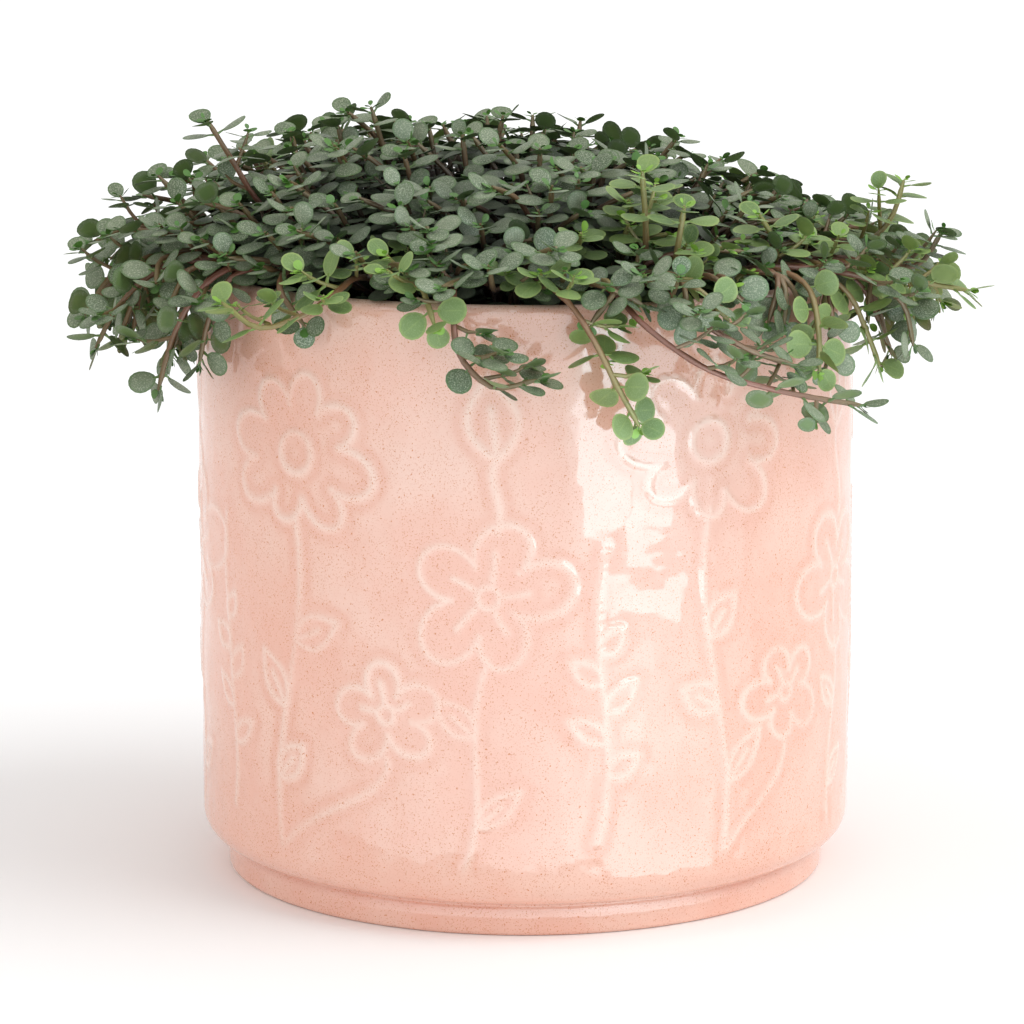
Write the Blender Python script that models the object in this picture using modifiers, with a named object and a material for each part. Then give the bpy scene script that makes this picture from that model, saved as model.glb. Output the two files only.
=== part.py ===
"""A trailing silver pilea in a pink glazed ceramic pot, as an assembly of separate solids.

The pot is a turned shell with a rounded rim and a foot ring. The soil fills it to a little
below the rim and has a hole for each stem. The plant is a set of leafy shoots: the named ones
are placed by hand, and the rest are spread over the mound and round the rim by rule. A leaf or
a stem is only kept where it is clear of every shoot grown before it.

Lengths below are in millimetres, and MM turns them into Blender's metres. The pot's axis is Z,
the table is at zero and the front is towards -Y.
"""

import math
import random
from dataclasses import dataclass, field

import bmesh
import bpy
from mathutils import Matrix, Vector
from mathutils.bvhtree import BVHTree

MM = 0.001
PART_NAME = "silver_pilea_in_pot"

# Pot
POT_RADIUS = 75.0
POT_HEIGHT = 140.0
WALL = 4.5
RIM_ROUND = 2.2
FLOOR_TOP = 12.0
FOOT_RADIUS = 69.3
FOOT_WIDTH = 8.3
FOOT_HEIGHT = 7.0
FOOT_RECESS = 4.0
BELLY_ROUND = 6.0
POT_STEPS = 36

# Soil
FIT_GAP = 0.3
SOIL_TOP = 131.0
HOLE_DEPTH = 7.0
HOLE_RADIUS = 1.9
HOLE_SIDES = 4
HOLE_SPACING = 5.5
SOIL_STEPS = 32

# Stems
STEM_RADIUS = 0.85
TIP_RADIUS = 0.62
BRANCH_RADIUS = 0.72
STEM_SPACING = 10.0
COLLAR = 1.5
RIM_CROSSING = (73.0, 144.5)
OVER_SOIL = 1.0
STEM_SINK = 0.8
FORK_SHARE = 0.55
DRIFT_STEP = 0.12

# Leaves
BLADE = 0.65
LEAF_LENGTH = 7.6
LEAF_WIDTH = 6.2
LEAF_SHAPE = ((0.0, 0.0), (0.43, 0.47), (0.94, 0.26), (0.94, -0.26), (0.43, -0.47))
ROOT_OFFSET = 0.2
ROOT_SHARE = 0.33
LEVEL_SHARE = 0.4
STEM_PULL = 0.35
PAIR_STEPS = (1.2, 3.6, 9.5, 16.5, 24.5, 33.5, 43.5)
PAIR_SIZES = (0.84, 1.0, 1.06, 1.0)
PAIR_LEANS = (48, 22, 12, 8)
BRANCH_PAIRS = 2
LEAF_TRIES = 10
LEAF_LOOSE = 0.09

# Spread of the plant
SEED = 7
CLEAR = 0.42
SHELL_MARGIN = 0.3
WALL_MARGIN = 0.5
SHELL_STEPS = 96
MOUND_SHOOTS = 25
MOUND_RADIUS = 88.0
MOUND_RISE = 31.0
MOUND_CENTRE = Vector((-12.0, 6.0))
MOUND_SKIRT = 12.0
MOUND_POWER = 2.2
LOW_SIDE_START = 15.0
LOW_SIDE_WIDTH = 90.0
LOW_SIDE_FALL = 0.35
BASE_RADIUS = 62.0
RING_SHOOTS = 7
TRIES = 90
GOLDEN_ANGLE = math.pi * (3 - math.sqrt(5))


@dataclass
class Leaf:
    """One blade: where it grows from, the way it points, its upper face and its size."""
    root: Vector
    along: Vector
    face: Vector
    length: float
    width: float


@dataclass
class Stem:
    """A tube's centre line from the bottom up, and its radius at both ends."""
    line: list
    start_radius: float
    end_radius: float


@dataclass
class Plan:
    """How a shoot should grow, before anything is in its way."""
    name: str
    base: tuple
    route: list
    pairs: int = 4
    young: bool = False
    branch: list = None


@dataclass
class Shoot:
    """A grown shoot: its plan and the stems and leaves that found room."""
    plan: Plan
    stems: list = field(default_factory=list)
    leaves: list = field(default_factory=list)


# The shoots that the eye picks out, each with its place in the soil and the points it passes.
NAMED_SHOOTS = [
    Plan("left_upright", (-44, -16), [(-50, -20, 145), (-59, -25, 156), (-66, -28, 168), (-70, -30, 175)], 3),
    Plan("left_cupped", (-44, 4), [(-47, 0, 150), (-51, -4, 161), (-53, -5, 170)], 3),
    Plan("top_left_near", (-34, 8), [(-37, 6, 150), (-41, 5, 163), (-43, 5, 171)], 3),
    Plan("top_left_far", (-24, 4), [(-28, 3, 152), (-32, 1, 165), (-35, 0, 175)], 4),
    Plan("top_centre", (-6, 14), [(-6, 13, 150), (-7, 11, 163), (-5, 10, 172)], 4),
    Plan("top_right", (10, 22), [(11, 24, 148), (12, 27, 160), (13, 30, 169)], 3),
    Plan("lime_spire", (25, -42), [(26, -50, 142), (26, -56, 154), (25, -60, 167)], 4, True),
    Plan("lime_front", (30, -53), [(32, -59, 146), (33, -62, 153), (34, -63, 160)], 3, True),
    Plan("lime_right", (50, -36), [(55, -40, 144), (54, -44, 151), (51, -46, 156)], 3, True),
    Plan("right_high", (58, -10), [(79, -18, 147), (83, -17, 154), (85, -15, 160)], 3, True),
    Plan("right_hook", (56, -24), [(82, -26, 142), (89, -25, 143), (93, -25, 150)], 4),
    Plan("right_reach", (55, -31), [(84, -38, 141), (91, -37, 139), (98, -36, 138)], 4, True),
    Plan("right_skirt", (42, -46), [(78, -48, 141), (83, -46, 135), (85, -45, 127)], 3),
    Plan("cascade_long", (8, -58), [(24, -82, 138), (37, -87, 129), (51, -84, 124), (64, -75, 120),
                                    (72, -70, 118)], 5),
    Plan("cascade_near", (20, -57), [(35, -82, 139), (47, -83, 132), (57, -79, 128)], 4),
    Plan("drop_front", (-3, -60), [(12, -82, 138), (18, -84, 127), (24, -85, 116)], 3, True),
    Plan("drop_centre", (-14, -58), [(-15, -80, 139), (-13, -83, 129), (-6, -84, 124), (3, -85, 126)], 4),
    Plan("rim_tuft", (-23, -56), [(-21, -79, 143), (-19, -82, 137)], 3, True),
    Plan("front_left_arch", (-30, -52), [(-44, -77, 140), (-55, -80, 136), (-64, -76, 141)], 4, True),
    Plan("left_drop", (-48, -34), [(-69, -50, 142), (-76, -51, 131), (-80, -50, 118)], 4),
    Plan("left_skirt", (-54, -26), [(-81, -34, 142), (-90, -36, 134), (-95, -35, 125)], 4),
    Plan("left_mid", (-56, -15), [(-78, -21, 148), (-90, -21, 150)], 4),
    Plan("left_low", (-60, -6), [(-85, -15, 144), (-94, -18, 138), (-99, -19, 130)], 4),
    Plan("left_reach", (-60, 5), [(-84, 4, 147), (-93, 1, 147), (-99, 0, 144)], 4),
]


def smooth_line(points, spacing):
    """A smooth curve through the points, as evenly spaced points."""
    guide = [2 * points[0] - points[1], *points, 2 * points[-1] - points[-2]]
    dense = [points[0]]
    for p0, p1, p2, p3 in zip(guide, guide[1:], guide[2:], guide[3:]):
        for step in range(1, 9):
            t = step / 8
            dense.append(0.5 * (2 * p1 + (p2 - p0) * t + (2 * p0 - 5 * p1 + 4 * p2 - p3) * t ** 2
                                + (3 * p1 - p0 - 3 * p2 + p3) * t ** 3))
    length = line_length(dense)
    count = max(2, round(length / spacing))
    return [point_at(dense, length * i / count)[0] for i in range(count + 1)]


def line_length(line):
    return sum((b - a).length for a, b in zip(line, line[1:]))


def point_at(line, distance):
    """The point at a distance along a line, and the line's direction there."""
    for a, b in zip(line, line[1:]):
        step = (b - a).length
        if distance <= step or b is line[-1]:
            return a + (b - a) * (distance / step), (b - a).normalized()
        distance -= step
    return line[-1].copy(), (line[-1] - line[-2]).normalized()


def square_to(direction, hint):
    """The part of hint that is at right angles to direction, at unit length."""
    side = hint - direction * hint.dot(direction)
    if side.length < 1e-4:
        side = direction.orthogonal()
    return side.normalized()


def tube_shell(stem, extra):
    """A square tube round a stem, as points and faces for a clearance test."""
    points, faces = [], []
    for i, centre in enumerate(stem.line):
        ahead = stem.line[min(i + 1, len(stem.line) - 1)] - stem.line[max(i - 1, 0)]
        across = square_to(ahead.normalized(), Vector((0.31, 0.95, 0.1)))
        other = ahead.normalized().cross(across)
        share = i / (len(stem.line) - 1)
        radius = stem.start_radius + (stem.end_radius - stem.start_radius) * share + extra
        for a, b in ((1, 1), (-1, 1), (-1, -1), (1, -1)):
            points.append(centre + (across * a + other * b) * radius)
        if i:
            for k in range(4):
                faces.append((4 * i - 4 + k, 4 * i - 4 + (k + 1) % 4, 4 * i + (k + 1) % 4, 4 * i + k))
    last = 4 * len(stem.line) - 4
    faces.append((last, last + 1, last + 2, last + 3))
    return points, faces


def leaf_outline(leaf, grow=0.0, skip=0.0):
    """The blade's corners from its root round its tip and back, with its root cut off by skip."""
    side = leaf.face.cross(leaf.along)
    corners = []
    for along, across in LEAF_SHAPE:
        ahead = max(along, skip) * leaf.length + (grow if along > 0.5 else 0.0)
        reach = across * leaf.width + math.copysign(grow, across) * (across != 0)
        corners.append(leaf.root + leaf.along * ahead + side * reach)
    return corners


def leaf_shell(leaf, extra, skip=0.0):
    """The blade's two faces and its edge, as points and faces for a clearance test."""
    corners = leaf_outline(leaf, extra, skip)
    count = len(corners)
    top = [corner + leaf.face * extra for corner in corners]
    bottom = [corner - leaf.face * (BLADE + extra) for corner in corners]
    faces = [tuple(range(count)), tuple(range(count, 2 * count))]
    faces += [(k, (k + 1) % count, count + (k + 1) % count, count + k) for k in range(count)]
    return top + bottom, faces


class Obstacles:
    """Everything that new growth has to stay clear of."""

    def __init__(self):
        self.points, self.faces, self.tree = [], [], None

    def add(self, shell):
        points, faces = shell
        start = len(self.points)
        self.points += points
        self.faces += [tuple(start + corner for corner in face) for face in faces]

    def settle(self):
        self.tree = BVHTree.FromPolygons(self.points, self.faces)

    def hits(self, shell):
        return self.tree is not None and bool(self.tree.overlap(BVHTree.FromPolygons(*shell)))


def pot_shell():
    """The pot's wall and rim and the soil's top, a little oversize, for the clearance test."""
    inner, outer = POT_RADIUS - WALL - SHELL_MARGIN, POT_RADIUS + WALL_MARGIN
    profile = [(0.0, SOIL_TOP + SHELL_MARGIN), (inner, SOIL_TOP + SHELL_MARGIN),
               (inner, POT_HEIGHT + SHELL_MARGIN), (outer, POT_HEIGHT + SHELL_MARGIN), (outer, 0.0)]
    steps = SHELL_STEPS
    points = [Vector((r * math.cos(math.tau * k / steps), r * math.sin(math.tau * k / steps), z))
              for r, z in profile for k in range(steps)]
    faces = [(ring * steps + k, ring * steps + (k + 1) % steps,
              (ring + 1) * steps + (k + 1) % steps, (ring + 1) * steps + k)
             for ring in range(len(profile) - 1) for k in range(steps)]
    return points, faces


def mound_height(x, y):
    """How high the foliage stands at a place, over the mound and out past the rim."""
    away = (Vector((x, y)) - MOUND_CENTRE).length / (MOUND_RADIUS + MOUND_SKIRT)
    right = max(0.0, x - LOW_SIDE_START) / LOW_SIDE_WIDTH
    return POT_HEIGHT + 1 + MOUND_RISE * max(0.0, 1 - away ** MOUND_POWER) * (1 - LOW_SIDE_FALL * right)


def mound_plan(index, rng):
    """A shoot of the mound, its tip on an even spiral over the top of the plant."""
    angle = index * GOLDEN_ANGLE + 0.6
    reach = MOUND_RADIUS * math.sqrt((index + 0.6) / MOUND_SHOOTS)
    tip = Vector((reach * math.cos(angle), reach * math.sin(angle)))
    base = tip * min(0.72, BASE_RADIUS / max(reach, 1.0))
    height = mound_height(tip.x, tip.y) + rng.uniform(-2.5, 2.5)
    middle = base.lerp(tip, 0.5)
    route = [(base.x * 0.98, base.y * 0.98, SOIL_TOP + 9), (middle.x, middle.y, 0.4 * SOIL_TOP + 0.6 * height),
             (tip.x, tip.y, height)]
    turn = rng.choice((-1, 1)) * rng.uniform(0.7, 1.2)
    aside = Vector((tip.x, tip.y)).normalized()
    aside.rotate(Matrix.Rotation(turn, 2))
    fork = tip * 0.93 + aside * rng.uniform(13, 17)
    branch = [(fork.x, fork.y, mound_height(fork.x, fork.y) + rng.uniform(-3, 1.5))]
    return Plan(f"mound_{index + 1:02d}", (base.x, base.y), route, 2, False, branch)


def ring_plan(index, rng):
    """A shoot that trails over the rim round the back and sides."""
    angle = math.radians(18 + 144 * (index + 0.5) / RING_SHOOTS) + rng.uniform(-0.07, 0.07)
    out = Vector((math.cos(angle), math.sin(angle)))
    fall = rng.uniform(4, 20)
    route = [(*(out * 82), 142), (*(out * 87), 140 - 0.45 * fall),
             (*(out * rng.uniform(88, 91)), 138 - fall)]
    return Plan(f"rim_{index + 1:02d}", tuple(out * 57), route, 4)


def steered(points, rng, size):
    """The points with a random drift that is larger towards the end."""
    last = len(points) - 1
    moved = [points[0].copy()]
    for i, point in enumerate(points[1:], 1):
        scale = size * (0.4 + 0.6 * i / last)
        moved.append(point + Vector([rng.uniform(-scale, scale) for _ in range(3)]))
    return moved


def find_stem(points, radii, obstacles, rng, own=None):
    """The first clear stem near the points, or nothing where all tries are blocked."""
    for attempt in range(TRIES):
        drift = DRIFT_STEP * attempt
        line = smooth_line(steered(points, rng, drift) if attempt else points, STEM_SPACING)
        stem = Stem(line, *radii)
        if obstacles.hits(tube_shell(stem, CLEAR)):
            continue
        if own is None or not own.hits(tube_shell(Stem(line[1:], *radii), 0.1)):
            return stem
    return None


def root_in_soil(base):
    """The two lowest points of a stem: the bottom of its hole and the top of the soil."""
    x, y = base
    return [Vector((x, y, SOIL_TOP - HOLE_DEPTH + STEM_SINK)), Vector((x, y, SOIL_TOP + COLLAR))]


def over_rim(base, outside):
    """The points that lift a stem from the soil over the rim, towards a point outside it."""
    radius, height = RIM_CROSSING
    middle = (Vector(base) + outside.xy).normalized() * radius
    rise = Vector(base) * 1.03
    return [Vector((*rise, POT_HEIGHT + OVER_SOIL)), Vector((*middle, height))]


def grow_stems(plan, obstacles, rng):
    """The shoot's main stem, with its branch where there is one and it finds room."""
    foot = root_in_soil(plan.base)
    route = [Vector(point) for point in plan.route]
    if route[0].xy.length > POT_RADIUS:
        route = over_rim(plan.base, route[0]) + route
    route.insert(0, foot[1])
    main = find_stem(route, (STEM_RADIUS, TIP_RADIUS), obstacles, rng)
    if main is None:
        return []
    main.line.insert(0, foot[0])
    stems = [main]
    if plan.branch:
        fork, ahead = point_at(main.line, FORK_SHARE * line_length(main.line))
        end = Vector(plan.branch[0])
        middle = fork.lerp(end, 0.5) + Vector((0, 0, 2.5)) + ahead * 2
        own = Obstacles()
        own.add(tube_shell(main, 0.2))
        own.settle()
        side = find_stem([fork, middle, end], (BRANCH_RADIUS, TIP_RADIUS), obstacles, rng, own)
        if side:
            stems.append(side)
    return stems


def leaf_try(root, ahead, around, lean, size, rng):
    """A leaf on a stem, levelled so that its upper face looks to the sky, or outward where it hangs."""
    sideways = square_to(ahead, Vector((0.2, 0.1, 1.0)))
    sideways.rotate(Matrix.Rotation(around, 3, ahead))
    hang = max(0.0, -ahead.z)
    along = sideways * math.cos(lean) + ahead * math.sin(lean)
    along.z = along.z * (LEVEL_SHARE + (1 - LEVEL_SHARE) * hang) + rng.uniform(-0.1, 0.1)
    along.normalize()
    outward = Vector((root.x, root.y, 0)).normalized()
    light = Vector((0, 0, 1 - 0.6 * hang)) + outward * (0.25 + 0.5 * hang)
    face = square_to(along, (ahead * math.cos(lean) - sideways * math.sin(lean)) * STEM_PULL + light)
    spread = rng.uniform(0.93, 1.07)
    return Leaf(root + along * ROOT_OFFSET, along, face, LEAF_LENGTH * size * spread, LEAF_WIDTH * size)


def place_leaf(shoot, at, pose, obstacles, own, rng):
    """Tries a few turns of one leaf and keeps the first that is clear."""
    root, ahead = at
    around, lean, size = pose
    for attempt in range(LEAF_TRIES):
        loose = LEAF_LOOSE * attempt
        leaf = leaf_try(root, ahead, around + rng.uniform(-loose, loose),
                        lean + rng.uniform(-loose, loose), size * (1 - 0.02 * attempt), rng)
        if not obstacles.hits(leaf_shell(leaf, CLEAR)) and not own.hits(leaf_shell(leaf, 0.15, ROOT_SHARE)):
            shoot.leaves.append(leaf)
            own.add(leaf_shell(leaf, 0.0, ROOT_SHARE))
            own.settle()
            return


def grow_leaves(shoot, stem, pairs, obstacles, own, rng):
    """Opposite pairs from the tip down, each a quarter turn from the last and to the sides of a level stem."""
    length = line_length(stem.line)
    upright = abs(point_at(stem.line, length)[1].z)
    turn = math.pi / 4 + rng.uniform(-1, 1) * (0.25 + 0.6 * upright)
    for level in range(pairs):
        back = PAIR_STEPS[level]
        if back > 0.8 * length:
            break
        at = point_at(stem.line, length - back)
        size = PAIR_SIZES[min(level, 3)]
        lean = math.radians(PAIR_LEANS[min(level, 3)])
        for half in (0, math.pi):
            place_leaf(shoot, at, (turn + half, lean, size), obstacles, own, rng)
        turn += math.pi / 2 + rng.uniform(-0.2, 0.2)


def grow_shoot(plan, obstacles, rng):
    """A shoot with every stem and leaf that finds room."""
    shoot = Shoot(plan, grow_stems(plan, obstacles, rng))
    own = Obstacles()
    for number, stem in enumerate(shoot.stems):
        pairs = plan.pairs if number == 0 else BRANCH_PAIRS
        grow_leaves(shoot, stem, pairs, obstacles, own, rng)
    return shoot


def free_base(base, taken):
    """The nearest place in the soil that leaves room for the holes already there."""
    for step in range(400):
        turn = step * GOLDEN_ANGLE
        spot = Vector(base) + Vector((math.cos(turn), math.sin(turn))) * 0.6 * math.sqrt(step)
        if spot.length <= BASE_RADIUS + 2 and all((spot - other).length >= HOLE_SPACING for other in taken):
            return spot
    return Vector(base)


def grow_plant():
    """Every shoot, the named ones first, each clear of those before it."""
    obstacles = Obstacles()
    obstacles.add(pot_shell())
    obstacles.settle()
    rng = random.Random(SEED)
    plans = NAMED_SHOOTS + [ring_plan(i, rng) for i in range(RING_SHOOTS)]
    plans += [mound_plan(i, rng) for i in range(MOUND_SHOOTS)]
    shoots, taken = [], []
    for plan in plans:
        plan.base = tuple(free_base(plan.base, taken))
        shoot = grow_shoot(plan, obstacles, rng)
        if not shoot.stems or len(shoot.leaves) < 2:
            print("no room for", plan.name)
            continue
        for stem in shoot.stems:
            obstacles.add(tube_shell(stem, 0.0))
        for leaf in shoot.leaves:
            obstacles.add(leaf_shell(leaf, 0.0))
        obstacles.settle()
        taken.append(Vector(plan.base))
        shoots.append(shoot)
    return shoots


def clear_scene():
    for item in list(bpy.data.objects):
        bpy.data.objects.remove(item, do_unlink=True)


def new_collection(name):
    group = bpy.data.collections.new(name)
    bpy.context.scene.collection.children.link(group)
    return group


def new_material(name, colour, roughness, coat=0.0):
    material = bpy.data.materials.new(name)
    material.use_nodes = True
    shader = material.node_tree.nodes["Principled BSDF"]
    shader.inputs["Base Color"].default_value = (*colour, 1.0)
    shader.inputs["Roughness"].default_value = roughness
    shader.inputs["Metallic"].default_value = 0.0
    shader.inputs["Coat Weight"].default_value = coat
    material.diffuse_color = (*colour, 1.0)
    return material


def new_object(name, mesh, group, material=None):
    item = bpy.data.objects.new(name, mesh)
    group.objects.link(item)
    if material:
        mesh.materials.clear()
        mesh.materials.append(material)
    return item


def baked_mesh(item):
    """The object's mesh with its modifiers, as new data."""
    bpy.context.view_layer.update()
    evaluated = item.evaluated_get(bpy.context.evaluated_depsgraph_get())
    return bpy.data.meshes.new_from_object(evaluated)


def turned_mesh(name, profile, steps):
    """A line of (radius, height) points turned about Z."""
    bm = bmesh.new()
    corners = [bm.verts.new(Vector((radius, 0, height)) * MM) for radius, height in profile]
    for a, b in zip(corners, corners[1:]):
        bm.edges.new((a, b))
    mesh = bpy.data.meshes.new(name)
    bm.to_mesh(mesh)
    bm.free()
    item = new_object(name, mesh, bpy.context.scene.collection)
    screw = item.modifiers.new("Screw", "SCREW")
    screw.steps = screw.render_steps = steps
    screw.use_merge_vertices = True
    screw.merge_threshold = 0.00001
    turned = baked_mesh(item)
    bpy.data.objects.remove(item, do_unlink=True)
    return turned


def arc(centre_radius, centre_height, size, start, end, count):
    """Points on a profile's round, from one angle to another in degrees."""
    angles = [math.radians(start + (end - start) * i / count) for i in range(count + 1)]
    return [(centre_radius + size * math.cos(a), centre_height + size * math.sin(a)) for a in angles]


def build_pot(group):
    """The shell: inner floor and wall, round rim, straight wall, rounded belly and foot ring."""
    inner = POT_RADIUS - WALL
    profile = [(0.0, FLOOR_TOP), (inner - 5, FLOOR_TOP), (inner, FLOOR_TOP + 5)]
    profile += [(inner, POT_HEIGHT - RIM_ROUND)]
    profile += arc(POT_RADIUS - RIM_ROUND, POT_HEIGHT - RIM_ROUND, RIM_ROUND, 120, 0, 3)
    profile += arc(POT_RADIUS - BELLY_ROUND, FOOT_HEIGHT + 0.4 + BELLY_ROUND, BELLY_ROUND, 0, -80, 2)
    profile += [(FOOT_RADIUS - 0.8, FOOT_HEIGHT), (FOOT_RADIUS, FOOT_HEIGHT - 1.0), (FOOT_RADIUS, 1.0)]
    profile += [(FOOT_RADIUS - 1.0, 0.0), (FOOT_RADIUS - FOOT_WIDTH, 0.0)]
    profile += [(FOOT_RADIUS - FOOT_WIDTH - 0.6, FOOT_RECESS), (0.0, FOOT_RECESS)]
    mesh = turned_mesh("pot", profile, POT_STEPS)
    pot = new_object("pot", mesh, group, new_material("pink_glaze", (0.84, 0.55, 0.46), 0.22, 0.6))
    mesh.shade_smooth()
    mesh.set_sharp_from_angle(angle=math.radians(35))
    return pot


def build_soil(group, cutters, bases):
    """The soil, with a blind hole for each stem."""
    radius = POT_RADIUS - WALL - FIT_GAP
    low = FLOOR_TOP + FIT_GAP
    profile = [(0.0, SOIL_TOP), (radius, SOIL_TOP), (radius, low + 5), (radius - 5.1, low), (0.0, low)]
    mesh = turned_mesh("soil", profile, SOIL_STEPS)
    soil = new_object("soil", mesh, group, new_material("dark_soil", (0.035, 0.024, 0.017), 0.95))
    bm = bmesh.new()
    for x, y in bases:
        middle = Vector((x, y, SOIL_TOP + 2 - (HOLE_DEPTH + 2) / 2)) * MM
        bmesh.ops.create_cone(bm, cap_ends=True, segments=HOLE_SIDES, radius1=HOLE_RADIUS * MM,
                              radius2=HOLE_RADIUS * MM, depth=(HOLE_DEPTH + 2) * MM,
                              matrix=Matrix.Translation(middle))
    holes_mesh = bpy.data.meshes.new("stem_holes")
    bm.to_mesh(holes_mesh)
    bm.free()
    holes = new_object("stem_holes", holes_mesh, cutters)
    holes.hide_render = True
    holes.display_type = "WIRE"
    cut = soil.modifiers.new("Stem holes", "BOOLEAN")
    cut.operation = "DIFFERENCE"
    cut.object = holes
    return soil


def stem_object(name, stem, group):
    """A stem as a thin bevelled curve, made a closed mesh."""
    curve = bpy.data.curves.new(name, "CURVE")
    curve.dimensions = "3D"
    curve.bevel_depth = MM
    curve.bevel_resolution = 0
    curve.use_fill_caps = True
    spline = curve.splines.new("POLY")
    spline.points.add(len(stem.line) - 1)
    for i, (point, centre) in enumerate(zip(spline.points, stem.line)):
        share = i / (len(stem.line) - 1)
        point.co = (*(centre * MM), 1.0)
        point.radius = stem.start_radius + (stem.end_radius - stem.start_radius) * share
    item = new_object(name, curve, group)
    mesh = baked_mesh(item)
    bpy.data.objects.remove(item, do_unlink=True)
    bm = bmesh.new()
    bm.from_mesh(mesh)
    bmesh.ops.remove_doubles(bm, verts=bm.verts, dist=0.000001)
    bm.to_mesh(mesh)
    bm.free()
    return new_object(name, mesh, group)


def leaf_object(name, leaf, group):
    """A blade: the leaf's outline as one flat face, given its thickness."""
    bm = bmesh.new()
    ring = bmesh.ops.create_circle(bm, cap_ends=True, segments=len(LEAF_SHAPE), radius=MM)["verts"]
    for corner, place in zip(ring, leaf_outline(leaf)):
        corner.co = place * MM
    bm.normal_update()
    if sum((face.normal for face in bm.faces), Vector()).dot(leaf.face) < 0:
        bmesh.ops.reverse_faces(bm, faces=bm.faces)
    mesh = bpy.data.meshes.new(name)
    bm.to_mesh(mesh)
    bm.free()
    item = new_object(name, mesh, group)
    thick = item.modifiers.new("Solidify", "SOLIDIFY")
    thick.thickness = BLADE * MM
    thick.offset = -1
    return item


def build_shoot(shoot, group, material):
    """A shoot's stems and leaves joined in one solid."""
    name = "shoot_" + shoot.plan.name
    pieces = new_collection(name + "_pieces")
    for number, stem in enumerate(shoot.stems[1:]):
        stem_object(f"{name}_branch_{number}", stem, pieces)
    for number, leaf in enumerate(shoot.leaves):
        leaf_object(f"{name}_leaf_{number:02d}", leaf, pieces)
    body = stem_object(name, shoot.stems[0], group)
    union = body.modifiers.new("Union", "BOOLEAN")
    union.operation = "UNION"
    union.operand_type = "COLLECTION"
    union.collection = pieces
    union.solver = "MANIFOLD"
    joined = baked_mesh(body)
    joined.name = name
    for piece in list(pieces.objects):
        bpy.data.objects.remove(piece, do_unlink=True)
    bpy.data.collections.remove(pieces)
    bpy.data.objects.remove(body, do_unlink=True)
    return new_object(name, joined, group, material)


def main():
    clear_scene()
    group = new_collection(PART_NAME)
    cutters = new_collection("cutters")
    silver = new_material("silver_green_leaf", (0.11, 0.19, 0.13), 0.5)
    lime = new_material("lime_green_leaf", (0.22, 0.36, 0.08), 0.5)
    shoots = grow_plant()
    build_pot(group)
    build_soil(group, cutters, [shoot.plan.base for shoot in shoots])
    for shoot in shoots:
        build_shoot(shoot, group, lime if shoot.plan.young else silver)


main()
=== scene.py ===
"""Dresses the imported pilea: a glazed pot with a raised drawing, crumbly soil and full foliage.

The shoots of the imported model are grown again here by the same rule, so that each finer shoot lies
on its solid. Fill shoots, grown by a second rule, then close the mound and the fringe over the rim.
Growth is worked out in millimetres and MM turns it into metres. The front is towards -Y.
"""
import logging
import math
import random
from dataclasses import dataclass, field
from enum import Enum
from typing import Optional, Sequence

import bpy
import numpy as np
from mathutils import Matrix, Vector
from mathutils.bvhtree import BVHTree


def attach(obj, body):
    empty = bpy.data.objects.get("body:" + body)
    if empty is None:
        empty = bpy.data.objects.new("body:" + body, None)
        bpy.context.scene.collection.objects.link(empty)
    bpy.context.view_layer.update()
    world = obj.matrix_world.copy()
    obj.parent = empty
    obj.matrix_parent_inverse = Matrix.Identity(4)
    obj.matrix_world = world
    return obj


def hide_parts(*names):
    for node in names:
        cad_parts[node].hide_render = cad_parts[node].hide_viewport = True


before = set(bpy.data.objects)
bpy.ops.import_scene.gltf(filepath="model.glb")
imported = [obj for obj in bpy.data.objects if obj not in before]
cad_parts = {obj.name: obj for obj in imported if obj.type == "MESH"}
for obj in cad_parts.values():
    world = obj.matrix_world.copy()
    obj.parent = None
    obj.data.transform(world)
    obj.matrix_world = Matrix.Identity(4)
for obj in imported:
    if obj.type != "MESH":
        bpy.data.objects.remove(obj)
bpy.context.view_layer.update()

MM = 0.001
GOLDEN_ANGLE = math.pi * (3 - math.sqrt(5))
LOG = logging.getLogger("pilea")
Shell = tuple[list[Vector], list[tuple[int, ...]]]
Triple = tuple[float, float, float]


class Tint(Enum):
    """The two colourings that a shoot can have."""
    SILVER = "silver"
    LIME = "lime"


@dataclass(frozen=True)
class PotSizes:
    """The pot's driving sizes, in millimetres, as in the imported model."""
    radius: float = 75.0
    height: float = 140.0
    wall: float = 4.5
    rim_round: float = 2.2
    floor_top: float = 12.0
    foot_radius: float = 69.3
    foot_width: float = 8.3
    foot_height: float = 7.0
    foot_recess: float = 4.0
    belly_round: float = 6.0
    soil_top: float = 131.0


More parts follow.
